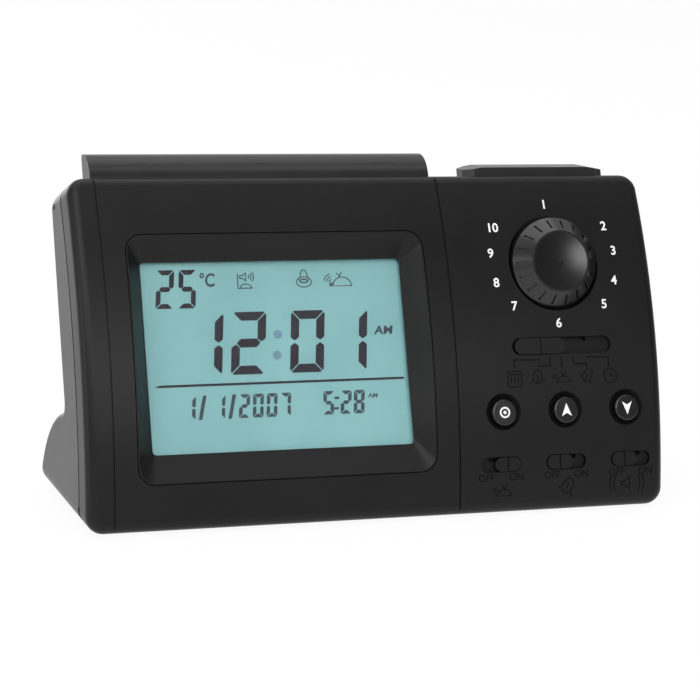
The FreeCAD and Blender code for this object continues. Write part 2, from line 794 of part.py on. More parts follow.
dome = Part.makeSphere(chip_ball, Vector(chip_x, 0, main_back + chip_ball - chip_height))
dome = dome.common(box(chip_x - chip_ball, chip_x + chip_ball, -chip_ball, chip_ball,
                       main_back - chip_ball, main_back))
save("chip_blob", on_display(dome))
crystal = Part.makeCylinder(crystal_radius, crystal_length,
                            Vector(display_x + 2 * chip_radius, -chip_radius, main_back - crystal_radius), Vector(1, 0, 0))
save("clock_crystal", on_display(crystal))
flipped = [screw(x, y, board_hole, 1.8, 1.1, board_thickness + 5) for x, y in main_screw_holes]
board_screws = placed(Part.makeCompound(flipped), Placement(Vector(0, 0, main_back), Rotation()))
save("main_board_screws", on_display(board_screws))

# ---- dial ----
skirt_low = dial_floor + 0.3
cone_low = skirt_low + knob_skirt
knob_top = cone_low + knob_cone
knob = disc(0, 0, knob_radius, skirt_low, cone_low).fuse(cone(0, 0, knob_radius, knob_top_radius, cone_low, knob_top))
dish_radius = knob_top_radius - 0.6
ball = (dish_radius ** 2 + knob_dish ** 2) / (2 * knob_dish)
knob = knob.cut(Part.makeSphere(ball, Vector(0, 0, knob_top - knob_dish + ball)))
flank = math.degrees(math.atan2(knob_cone, knob_radius - knob_top_radius))
grips = []
for k in range(knob_grip_count):
    grip = Part.makeBox(knob_grip_length, knob_grip_width, 2 * knob_grip_depth,
                        Vector(-knob_grip_length / 2, -knob_grip_width / 2, -knob_grip_depth))
    grip.rotate(Vector(0, 0, 0), Vector(0, 1, 0), flank)
    grip.translate(Vector((knob_radius + knob_top_radius) / 2, 0, (cone_low + knob_top) / 2))
    grip.rotate(Vector(0, 0, 0), Vector(0, 0, 1), 360.0 * k / knob_grip_count)
    grips.append(grip)
rotor_top = dial_floor - panel_floor - slide_gap
shaft_low = 0.8
knob = knob.cut(grips).fuse(disc(0, 0, shaft_radius, shaft_low, skirt_low + 1)).removeSplitter()
save("selector_knob", on_panel(knob))
rotor_low = rotor_top - rotor_thickness
hub_low = wiper_thickness + 0.15
rotor = disc(0, 0, rotor_radius, rotor_low, rotor_top).fuse(disc(0, 0, rotor_hub_radius, hub_low, rotor_low))
rotor = rotor.cut(disc(0, 0, shaft_radius + 0.02, -1, rotor_top + 1))
notches = []
for k in range(detent_count):
    notch = disc(0, -(rotor_radius + 0.25), detent_radius, rotor_low - 1, rotor_top + 1)
    notch.rotate(Vector(0, 0, 0), Vector(0, 0, 1), 360.0 * k / detent_count)
    notches.append(notch)
save("selector_rotor", on_panel(rotor.cut(notches)))
save("rotor_wiper", on_panel(ring(0, 0, wiper_inner_radius, rotor_hub_radius - 0.5, 0.15, hub_low)))
leaf_y = -(rotor_radius + 0.45)
leaf = box(-8, 8, leaf_y - detent_leaf, leaf_y, rotor_low + 0.1, rotor_top - 0.1)
bump = disc(0, -(rotor_radius + 0.25), detent_radius - fit_gap, rotor_low + 0.1, rotor_top - 0.1)
legs = [box(min(s * 8, s * 7), max(s * 8, s * 7), leaf_y - detent_leaf, leaf_y, 0, rotor_top - 0.1) for s in (-1, 1)]
save("detent_spring", on_panel(joined([leaf, bump] + legs)))

# ---- buttons and their rubber domes ----
button_top = button_face + button_rise
for name, x in button_names.items():
    y = -button_down
    cap = disc(x, y, button_radius, flange_top - button_flange, button_top)
    rim = [e for e in cap.Edges if abs(e.CenterOfMass.z - button_top) < 0.01]
    cap = cap.makeFillet(0.5, rim)
    flange = disc(x, y, flange_radius, flange_top - button_flange, flange_top)
    stem = disc(x, y, button_stem_radius, dome_height + shaft_gap, flange_top - button_flange)
    save(name + "_button", on_panel(joined([cap, flange, stem])))
    rubber = cone(x, y, dome_radius, button_stem_radius, 0.6, dome_height)
    rubber = rubber.fuse(disc(x, y, dome_radius + 0.8, 0, 0.6))
    rubber = rubber.cut(cone(x, y, dome_radius - 0.7, button_stem_radius - 0.7, -0.1, dome_height - 0.9))
    save(name + "_dome", on_panel(rubber.removeSplitter()))

# ---- sliders and switches ----
for name, slider in sliders.items():
    save(name + "_slider", slider.knob())
    save(name + "_lever", slider.lever())
save("mode_switch", sliders["mode"].switch())
save("on_off_switches", Part.makeCompound([sliders[n].switch() for n in ("azan", "alarm", "sound")]))
control_board = box(board_left, board_right, board_low, board_high, -board_thickness, 0)
control_board = control_board.cut([disc(x, y, board_hole + fit_gap, -5, 1) for x, y in board_screw_holes])
save("control_board", on_panel(control_board))
control_screws = [screw(x, y, board_hole, 1.8, 1.1, board_thickness + 5) for x, y in board_screw_holes]
control_screws = placed(Part.makeCompound(control_screws), Placement(Vector(0, 0, -board_thickness), Rotation()))
save("control_board_screws", on_panel(control_screws))

# ---- keys on top ----
key_middle = (key_front + key_back) / 2
bar_radius = key_back - key_front
board_top_n = -key_board_drop
seat_n = -2.0
lip_top = -wall - fit_gap
pocket_front = key_front + bar_wall
pocket_back = key_back - bar_wall
bar_x = (bar_left_x + bar_right_x) / 2


def key_inside(x0, x1, ceiling, spring_xs, middle_x, travel):
    """The hollow of a key, with spring seats and a plunger left standing in it."""
    hollow = box(x0 + bar_wall, x1 - bar_wall, pocket_front, pocket_back, -key_skirt - 1, ceiling)
    kept = []
    for x in spring_xs:
        kept.append(box(x - 2.7, x + 2.7, pocket_front - 0.5, pocket_back + 0.5, seat_n, ceiling + 0.5))
        kept.append(disc(x, key_middle, 1.2, seat_n - 2.5, ceiling + 0.5))
    tip = board_top_n + tact_height + travel + shaft_gap
    kept.append(box(middle_x - 2, middle_x + 2, pocket_front - 0.5, pocket_back + 0.5, tip, ceiling + 0.5))
    return hollow, kept


profile_edges = [
    Part.LineSegment(Vector(0, key_back, -key_skirt), Vector(0, key_front, -key_skirt)).toShape(),
    Part.LineSegment(Vector(0, key_front, -key_skirt), Vector(0, key_front, bar_base)).toShape(),
    Part.Arc(Vector(0, key_front, bar_base),
             Vector(0, key_back - bar_radius * math.cos(math.pi / 4), bar_base + bar_radius * math.sin(math.pi / 4)),
             Vector(0, key_back, bar_base + bar_radius)).toShape(),
    Part.LineSegment(Vector(0, key_back, bar_base + bar_radius), Vector(0, key_back, -key_skirt)).toShape(),
]
bar = Part.Face(Part.Wire(profile_edges)).extrude(Vector(bar_right_x - bar_left_x, 0, 0))
bar.translate(Vector(bar_left_x, 0, 0))
crest = [e for e in bar.Edges if abs(e.CenterOfMass.z - bar_base - bar_radius) < 0.01]
bar = bar.makeFillet(0.9, crest)
bar_springs = [bar_left_x + 14, bar_right_x - 14]
hollow, kept = key_inside(bar_left_x, bar_right_x, 4.0, bar_springs, bar_x, bar_travel)
lips = [box(bar_left_x - key_lip, bar_left_x + 1, key_back - 3.4, key_back - 0.2, lip_top - key_lip_thickness, lip_top),
        box(bar_right_x - 1, bar_right_x + key_lip, key_back - 3.4, key_back - 0.2, lip_top - key_lip_thickness, lip_top),
        box(bar_left_x + 10, bar_right_x - 10, key_back - 1, key_back + key_lip, lip_top - key_lip_thickness, lip_top)]
save("snooze_bar", on_case(joined([bar.cut(hollow)] + kept + lips)))

stop_left = stop_x - stop_half_length
stop_right = stop_x + stop_half_length
stop = prism([(key_front, -key_skirt), (key_front, stop_front_height), (key_back, stop_back_height),
              (key_back, -key_skirt)], stop_left, stop_right)
top_slope = math.degrees(math.atan2(stop_back_height - stop_front_height, key_back - key_front))
top_frame = Placement(Vector(0, key_front, stop_front_height), Rotation(Vector(1, 0, 0), top_slope))
for side in (-1, 1):
    end = stop_x + side * stop_half_length
    inner = end - side * stop_end_bevel
    far = end + side * 2.0
    drop = stop_end_drop * (stop_end_bevel + 2.0) / stop_end_bevel
    corners = [Vector(inner, -3, 0), Vector(far, -3, -drop), Vector(far, -3, 4), Vector(inner, -3, 4)]
    wedge = Part.Face(Part.makePolygon(corners + corners[:1])).extrude(Vector(0, 16, 0))
    stop = stop.cut(placed(wedge, top_frame))
    for y, way in ((key_front, 1), (key_back, -1)):
        base = [Vector(end, y + way * stop_chamfer_y, -0.0), Vector(end - side * stop_chamfer_x, y, 0),
                Vector(end + side, y - way, 0)]
        nick = Part.Face(Part.makePolygon(base + base[:1])).extrude(Vector(0, 0, 12))
        stop = stop.cut(nick)
stop_springs = [stop_x - 14, stop_x + 14]
hollow, kept = key_inside(stop_left + 1.5, stop_right - 1.5, 0.8, stop_springs, stop_x, stop_travel)
lips = [box(stop_left - key_lip, stop_left + 1, key_back - 3.4, key_back - 0.2, lip_top - key_lip_thickness, lip_top),
        box(stop_right - 1, stop_right + key_lip, key_back - 3.4, key_back - 0.2, lip_top - key_lip_thickness, lip_top),
        box(stop_left + 6, stop_right - 6, key_back - 1, key_back + key_lip, lip_top - key_lip_thickness, lip_top)]
save("stop_button", on_case(joined([stop.cut(hollow)] + kept + lips)))

for name, places in (("snooze_springs", bar_springs), ("stop_springs", stop_springs)):
    coils = []
    for x in places:
        one = coil(spring_radius - spring_wire / 2, spring_wire, seat_n - board_top_n - 2 * shaft_gap, spring_turns)
        one.translate(Vector(x, key_middle, board_top_n + shaft_gap))
        coils.append(one)
    save(name, on_case(Part.makeCompound(coils)))
tacts = []
for x in (bar_x, stop_x):
    base = box(x - tact_size / 2, x + tact_size / 2, key_middle - tact_size / 2, key_middle + tact_size / 2,
               board_top_n, board_top_n + tact_height - 0.8)
    tacts.append(base.fuse(disc(x, key_middle, 1.6, board_top_n, board_top_n + tact_height)))
save("key_switches", on_case(Part.makeCompound(tacts)))
key_board = box(-key_board_half_length, key_board_half_length, key_board_front, key_board_back,
                board_top_n - 1.2, board_top_n)
key_board = key_board.cut([disc(x, key_post_back, board_hole + fit_gap, board_top_n - 2, 0) for x in key_post_x])
save("key_board", on_case(key_board))
key_screws = [screw(x, key_post_back, board_hole, 1.7, 1.0, 4.6) for x in key_post_x]
key_screws = placed(Part.makeCompound(key_screws), Placement(Vector(0, 0, board_top_n - 1.2), Rotation()))
save("key_board_screws", on_case(key_screws))
sensor = Part.makeSphere(1.2, Vector(-width / 2 + wall + 1.5, vent_back, -vent_drop))
sensor_leads = []
for shift in (-0.5, 0.5):
    sensor_leads.append(wire_tube([(-width / 2 + wall + 2.2, vent_back + shift, -vent_drop),
                                   (-width / 2 + wall + 5.0, vent_back - 0.6 + shift, -vent_drop),
                                   (-width / 2 + wall + 6.5, key_board_back - 2.5 + shift, board_top_n + 0.2)],
                                  0.4))
save("temperature_sensor", on_case(joined([sensor] + sensor_leads)))

# ---- rear cover ----
rear_cover = shell.common(face_drum(seam_radius - seam_gap))
tongue = block(wall / 2 + lip_gap).cut(inner_block).common(face_drum(seam_radius + lip_length))
tongue = tongue.cut(face_drum(seam_radius - seam_gap - 1.0))
rear_cover = rear_cover.fuse(tongue)
clear_tools = [bar_opening, stop_opening]
for x, n in boss_places:
    clear_tools.append(on_display(disc(x, n + display_drop, boss_radius + slide_gap,
                                       display_setback - boss_meet - fit_gap, 20)))
rear_cover = rear_cover.cut(clear_tools)
adds = []
cuts = []
rear_skin = display_setback - body_depth
for x, n in boss_places:
    v = n + display_drop
    meet = display_setback - boss_meet - fit_gap
    adds.append(on_display(disc(x, v, boss_radius, rear_skin + 0.5, meet)).common(middle_block))
    cuts.append(on_display(disc(x, v, screw_radius + 0.15, rear_skin - 1, meet + 1)))
    cuts.append(on_display(disc(x, v, screw_head_radius + 0.15, rear_skin - 1, rear_skin + screw_head_height + 0.4)))

# speaker seat and grille
speaker_y = display_drop - speaker_drop
rim_screw_radius = speaker_radius + 1.7
rim_screws = []
for angle in (90, 210, 330):
    turn = math.radians(angle)
    rim_screws.append((speaker_x + rim_screw_radius * math.cos(turn), speaker_y + rim_screw_radius * math.sin(turn)))
for x, y in rim_screws:
    adds.append(on_display(disc(x, y, 1.6, rear_inner - 0.5, rear_inner + speaker_rim + fit_gap)))
    cuts.append(on_display(disc(x, y, 0.75, rear_inner - 0.4, rear_inner + speaker_rim + 1)))
count = int(grille_radius / grille_pitch)
for k in range(-count, count + 1):
    x = k * grille_pitch
    length = 2 * math.sqrt(grille_radius ** 2 - x ** 2)
    slot = plate(speaker_x + x - grille_slot_width / 2, speaker_x + x + grille_slot_width / 2,
                 speaker_y - length / 2, speaker_y + length / 2, grille_slot_width / 2, rear_skin - 1,
                 rear_inner + 0.3)
    cuts.append(on_display(slot))

# battery bay
cell_z = base_z + wall + cell_gap + cell_radius
cell_back_y = foot_centre_y + math.sqrt((foot_radius - wall - cell_gap - cell_radius) ** 2
                                        - (cell_z + foot_centre_drop) ** 2)
cell_front_y = cell_back_y - cell_pitch
bay_front = cell_front_y - cell_radius - cell_gap
bay_top = cell_z + cell_radius + cell_gap
bay_cut = cell_radius * 0.62


def bay_prism(grow, x_half):
    front = bay_front - grow
    top = bay_top + grow
    low = base_z + wall / 2 + 0.1 if grow else base_z + wall
    return prism([(front, low), (front, top - bay_cut), (front + bay_cut, top), (depth / 2, top), (depth / 2, low)],
                 -x_half, x_half)


bay_block = bay_prism(bay_wall, bay_half_length + bay_wall).common(block(wall / 2 + lip_gap))
bay_room = bay_prism(0.0, bay_half_length).common(inner_block)
rear_cover = rear_cover.fuse(adds + [bay_block])
hinge_y = foot_y(door_low_z)


def along_x(radius, half, y, z):
    return Part.makeCylinder(radius, 2 * half, Vector(-half, y, z), Vector(1, 0, 0))


door_hole = along_x(foot_radius + 1, door_half_length + door_gap, foot_centre_y, -foot_centre_drop)
door_hole = door_hole.cut(along_x(foot_radius - wall - 0.5, width, foot_centre_y, -foot_centre_drop))
door_hole = door_hole.common(along_x(door_reach + door_gap, width, hinge_y, door_low_z))
door_hole = door_hole.common(box(-width, width, 0, depth, door_low_z, top_corner_z))
plate_tab_y = [cell_front_y, cell_back_y - 3.0]
plate_x = bay_half_length - fit_gap - contact_plate / 2
cuts.append(bay_room)
cuts.append(door_hole)
for side in (-1, 1):
    for y in plate_tab_y:
        cuts.append(box(side * plate_x - 0.5, side * plate_x + 0.5, y - 1.4, y + 1.4, bay_top - 1, bay_top + 3))
    x = side * tab_x
    cuts.append(disc(x, tab_y, screw_radius + 0.15, base_z - 1, base_z + wall + 1))
    cuts.append(disc(x, tab_y, screw_head_radius + 0.15, base_z - 1, base_z + 1.15))
    for y in (pad_front_y, pad_back_y):
        cuts.append(disc(side * pad_x, y, pad_radius + fit_gap, base_z - 1, base_z + pad_sink))
vent = Part.makeCylinder(vent_radius, 20, Vector(-width / 2 - 10, vent_back, -vent_drop), Vector(1, 0, 0))
cuts.append(on_case(vent))
notch = box(-width, -width / 2 + 1.6, -depth, 0, -1, 6).cut(face_drum(seam_radius - seam_gap - 1.0))
cuts.append(notch)
rear_cover = rear_cover.cut(cuts)
save("rear_cover", rear_cover)

# battery door
door = along_x(foot_radius, door_half_length, foot_centre_y, -foot_centre_drop)
door = door.cut(along_x(foot_radius - door_thickness, width, foot_centre_y, -foot_centre_drop))
door = door.common(along_x(door_reach, width, hinge_y, door_low_z))
door = door.common(box(-width, width, 0, depth, door_low_z + fit_gap, top_corner_z))
hooks = []
for x in (-door_half_length * 0.73, door_half_length * 0.73):
    hook = box(x - 3, x + 3, hinge_y - door_thickness - 3.2, hinge_y - 0.6, base_z + wall + 0.15, door_low_z + 1.6)
    hook = hook.common(along_x(foot_radius - 0.5, width, foot_centre_y, -foot_centre_drop))
    hook = hook.cut(box(x - 4, x + 4, foot_y(door_low_z, wall) - slide_gap, depth, 0, door_low_z + fit_gap))
    hooks.append(hook)
thumb_angle = 2 * math.degrees(math.asin(door_reach / 2 / foot_radius))
thumb_angle += math.degrees(math.atan2(door_low_z + foot_centre_drop, hinge_y - foot_centre_y)) - 4.5
thumb_turn = math.radians(thumb_angle)
thumb_y = foot_centre_y + (foot_radius + 1.0) * math.cos(thumb_turn)
thumb_z = -foot_centre_drop + (foot_radius + 1.0) * math.sin(thumb_turn)
door = joined([door] + hooks).cut(along_x(1.9, 7.0, thumb_y, thumb_z))
save("battery_door", door)

# cells, contacts
cells = []
springs = []
for y, side in ((cell_back_y, 1), (cell_front_y, -1)):
    tip = side * (bay_half_length - fit_gap - contact_plate - fit_gap)
    direction = Vector(-side, 0, 0)
    nub = Part.makeCylinder(2.7, 1.1, Vector(tip, y, cell_z), direction)
    can = Part.makeCylinder(cell_radius, cell_length - 1.0, Vector(tip - side, y, cell_z), direction)
    can_edges = [e for e in can.Edges if abs(e.Length - 2 * math.pi * cell_radius) < 0.01]
    cells.append(can.makeFillet(0.7, can_edges).fuse(nub).removeSplitter())
    gap = 2 * (bay_half_length - fit_gap - contact_plate) - cell_length - fit_gap
    one = coil(3.2, 0.6, gap - 2 * shaft_gap, 4)
    one.rotate(Vector(0, 0, 0), Vector(0, 1, 0), 90 * side)
    one.translate(Vector(-side * (bay_half_length - fit_gap - contact_plate - shaft_gap), y, cell_z))
    springs.append(one)
save("battery_cells", Part.makeCompound(cells))
save("battery_springs", Part.makeCompound(springs))
plate_low = cell_z - 4.5
plate_high = cell_z + 4.5


def contact(side, y0, y1, tab_ys):
    x0 = side * plate_x - contact_plate / 2
    x1 = side * plate_x + contact_plate / 2
    pieces = [box(x0, x1, y0, y1, plate_low, plate_high)]
    for y in tab_ys:
        pieces.append(box(x0, x1, y - 1.0, y + 1.0, plate_high - 0.5, bay_top + bay_wall + 1.2))
    return joined(pieces)


plates = [contact(-1, cell_front_y - 4, cell_back_y + 4, []),
          contact(1, cell_front_y - 4, cell_front_y + 4, [plate_tab_y[0]]),
          contact(1, cell_back_y - 4, cell_back_y + 4, [plate_tab_y[1]])]
save("battery_contacts", Part.makeCompound(plates))

# ---- speaker ----
rim_back = rear_inner + shaft_gap
basket_front = rear_inner + speaker_depth - magnet_height
cone_back = rim_back + speaker_rim
basket_plate = 1.0
outer_funnel = cone(speaker_x, speaker_y, speaker_radius - 1.4, magnet_radius + 1.2, cone_back, basket_front)
inner_funnel = cone(speaker_x, speaker_y, speaker_radius - 2.2, magnet_radius + 0.4, cone_back, basket_front)
basket = ring(speaker_x, speaker_y, speaker_radius - 2.4, speaker_radius, rim_back, cone_back)
basket = basket.fuse([outer_funnel.cut(inner_funnel),
                      disc(speaker_x, speaker_y, magnet_radius + 1.2, basket_front, basket_front + basket_plate)])
windows = []
for k in range(4):
    window = box(speaker_x + magnet_radius + 2.2, speaker_x + speaker_radius - 2.0, speaker_y - 4, speaker_y + 4,
                 cone_back + 0.8, basket_front - 0.6)
    window.rotate(Vector(speaker_x, speaker_y, 0), Vector(0, 0, 1), 45 + 90 * k)
    windows.append(window)
save("speaker_basket", on_display(basket.cut(windows).removeSplitter()))
save("speaker_magnet", on_display(disc(speaker_x, speaker_y, magnet_radius, basket_front + basket_plate,
                                       basket_front + basket_plate + magnet_height - 0.6)))
paper_outer = cone(speaker_x, speaker_y, speaker_radius - 3.4, 5.0, rim_back + 0.6, basket_front - 0.4)
paper_inner = cone(speaker_x, speaker_y, speaker_radius - 3.8, 4.6, rim_back + 0.6, basket_front - 0.4)
surround = ring(speaker_x, speaker_y, speaker_radius - 3.8, speaker_radius - 2.45, rim_back + 0.6, rim_back + 1.0)
cap_ball = Part.makeSphere(7.0, Vector(speaker_x, speaker_y, basket_front + 4.6))
cap_ball = cap_ball.common(disc(speaker_x, speaker_y, 4.9, basket_front - 3, basket_front - 0.4))
save("speaker_cone", on_display(joined([paper_outer.cut(paper_inner), surround, cap_ball])))
speaker_screws = []
for x, y in rim_screws:
    top = rear_inner + speaker_rim + fit_gap
    speaker_screws.append(disc(x, y, 2.5, top, top + 0.9).fuse(disc(x, y, 0.7, rear_inner, top)))
save("speaker_screws", on_display(Part.makeCompound(speaker_screws)))

# ---- case screws, feet and leads ----
case_screws = []
for x, n in boss_places:
    head = rear_skin + screw_head_height + 0.4
    one = screw(x, n + display_drop, screw_radius, screw_head_radius, screw_head_height, -boss_meet + body_depth + 3)
    one.translate(Vector(0, 0, head))
    case_screws.append(on_display(one))
for side in (-1, 1):
    one = screw(side * tab_x, tab_y, screw_radius, screw_head_radius, 1.0, 6.0)
    one.translate(Vector(0, 0, base_z + 1.15))
    case_screws.append(one)
save("case_screws", Part.makeCompound(case_screws))
pads = [disc(sx * pad_x, y, pad_radius, 0, base_z + pad_sink) for sx in (-1, 1) for y in (pad_front_y, pad_back_y)]
save("rubber_feet", Part.makeCompound(pads))

lead_w = rear_inner + 4.4
ribbon = []
for k in range(6):
    y = -4.0 + 0.9 * k
    control_back = display_frame.inverse().multVec(control_frame.multVec(Vector(board_left, 0, -board_thickness)))
    up = math.radians(body_lean - control_lean)
    start_w = control_back.z + (y - control_back.y) * math.tan(up) - 0.15
    ribbon_x = control_x + board_left + 6.7
    ribbon.append(wire_tube([(ribbon_x, y, start_w), (ribbon_x, y, lead_w),
                             (display_x + main_half_x - 9, y, lead_w), (display_x + main_half_x - 9, y, main_back - 0.05)],
                            0.8))
save("ribbon_cable", on_display(Part.makeCompound(ribbon)))
key_leads = []
for k in range(4):
    x = -12.0 + 0.9 * k
    back = display_setback - main_back
    high_end = board_top_n - 1.4
    low_end = main_half_y - display_drop - key_lead_inset
    key_leads.append(wire_tube([(x, key_board_back - 1.5, high_end), (x, key_board_back - 0.6, (high_end + low_end) / 2),
                                (x, back + 2.6, low_end), (x, back + 0.05, low_end)], 0.8))
save("key_leads", on_case(Part.makeCompound(key_leads)))
speaker_leads = []
for shift in (0.0, 1.2):
    x = speaker_x - magnet_radius - 0.6
    speaker_leads.append(wire_tube([(x, speaker_y + 0.6 + shift, basket_front + basket_plate + 0.45),
                                    (x - 5, speaker_y + 0.6 + shift, basket_front + basket_plate + 0.45),
                                    (x - 10, speaker_y + 6 + shift, lead_w),
                                    (display_x + main_half_x - 16, speaker_y + 6 + shift, lead_w),
                                    (display_x + main_half_x - 16, speaker_y + 6 + shift, main_back - 0.05)], 0.8))
save("speaker_leads", on_display(Part.makeCompound(speaker_leads)))
battery_leads = []
lead_high = bay_top + bay_wall + 1.5
lean = math.radians(body_lean)
land_w = main_back - 0.15
land_v = (lead_high + battery_lead_climb - display_origin.z - land_w * math.sin(lean)) / math.cos(lean)
board_back_low = display_frame.multVec(Vector(0, land_v, land_w))
for y, shift in zip(plate_tab_y, (0.0, 3.0)):
    x = display_x + main_half_x - 4 - shift
    battery_leads.append(wire_tube([(plate_x, y, lead_high), (plate_x, y - 2.0, lead_high + 0.8),
                                    (x, board_back_low.y + 5, board_back_low.z - 0.6),
                                    (x, board_back_low.y, board_back_low.z)], 0.7))
save("battery_leads", Part.makeCompound(battery_leads))
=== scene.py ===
import math
import bmesh
import bpy
from mathutils import Matrix, Vector


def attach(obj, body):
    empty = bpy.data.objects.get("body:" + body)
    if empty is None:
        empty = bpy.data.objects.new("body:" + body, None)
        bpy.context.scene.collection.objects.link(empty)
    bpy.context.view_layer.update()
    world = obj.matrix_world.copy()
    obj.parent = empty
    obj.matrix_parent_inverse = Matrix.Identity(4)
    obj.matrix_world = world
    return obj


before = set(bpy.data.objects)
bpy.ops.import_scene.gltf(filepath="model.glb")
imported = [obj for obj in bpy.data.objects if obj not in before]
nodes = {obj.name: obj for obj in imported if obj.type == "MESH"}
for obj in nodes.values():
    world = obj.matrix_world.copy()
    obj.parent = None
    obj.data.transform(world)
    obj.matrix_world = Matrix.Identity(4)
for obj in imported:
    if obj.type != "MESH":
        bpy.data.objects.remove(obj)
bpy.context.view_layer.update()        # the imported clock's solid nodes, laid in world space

mm = 0.001
print("clock: frame loaded with", len(nodes), "solid pieces")


def linear(code):  # an sRGB hex colour as the linear one that shaders take
    parts = [int(code[i:i + 2], 16) / 255 for i in (1, 3, 5)]
    return tuple(p / 12.92 if p <= 0.04045 else ((p + 0.055) / 1.055) ** 2.4
                 for p in parts) + (1.0,)


def addNode(tree, kind, settings=None, links=None):
    # lower-case settings are the node's own, the others are values of its inputs
    node = tree.nodes.new(kind)
    for key, value in (settings or {}).items():
        if isinstance(key, str) and key[0].islower():
            setattr(node, key, value)
        else:
            node.inputs[key].default_value = value
    for key, source in (links or {}).items():
        tree.links.new(source, node.inputs[key])
    return node


def startMaterial(name, settings):
    material = bpy.data.materials.new(name)
    material.use_nodes = True
    tree = material.node_tree
    tree.nodes.clear()
    shader = addNode(tree, "ShaderNodeBsdfPrincipled", settings)
    addNode(tree, "ShaderNodeOutputMaterial", {}, {"Surface": shader.outputs[0]})
    place = addNode(tree, "ShaderNodeTexCoord").outputs["Object"]
    return material, tree, shader, place


def twoTones(tree, pattern, first, second):
    return addNode(tree, "ShaderNodeMix",
                   {"data_type": "RGBA", 6: linear(first), 7: linear(second)},
                   {0: pattern}).outputs[2]


# what all the plain finishes share: how the clouds of tone and gloss are spread, and the grain
cloudLook = {"detail": 3.0, "tone": (0.35, 0.65), "gloss": (0.3, 0.7), "grainDetail": 2.0,
             "grainStrength": 0.5}


def finishMaterial(name, look, settings):
    # two close tones, a roughness that wanders and a raised grain, sizes in millimetres
    material, tree, shader, place = startMaterial(name, settings)
    toneLow, toneHigh = cloudLook["tone"]
    glossLow, glossHigh = cloudLook["gloss"]
    low, high = look["roughness"]
    cloud = addNode(tree, "ShaderNodeTexNoise",
                    {"Scale": 1 / (look["toneSize"] * mm), "Detail": cloudLook["detail"]},
                    {"Vector": place}).outputs[0]
    spread = addNode(tree, "ShaderNodeMapRange", {"From Min": toneLow, "From Max": toneHigh},
                     {"Value": cloud}).outputs[0]
    tree.links.new(twoTones(tree, spread, *look["tones"]), shader.inputs["Base Color"])
    gloss = addNode(tree, "ShaderNodeMapRange", {"From Min": glossLow, "From Max": glossHigh,
                                                 "To Min": low, "To Max": high},
                    {"Value": cloud})
    tree.links.new(gloss.outputs[0], shader.inputs["Roughness"])
    grain = addNode(tree, "ShaderNodeTexNoise",
                    {"Scale": 1 / (look["grainSize"] * mm), "Detail": cloudLook["grainDetail"]},
                    {"Vector": place}).outputs[0]
    bump = addNode(tree, "ShaderNodeBump", {"Strength": cloudLook["grainStrength"],
                                            "Distance": look["grainDepth"] * mm},
                   {"Height": grain})
    tree.links.new(bump.outputs[0], shader.inputs["Normal"])
    return material


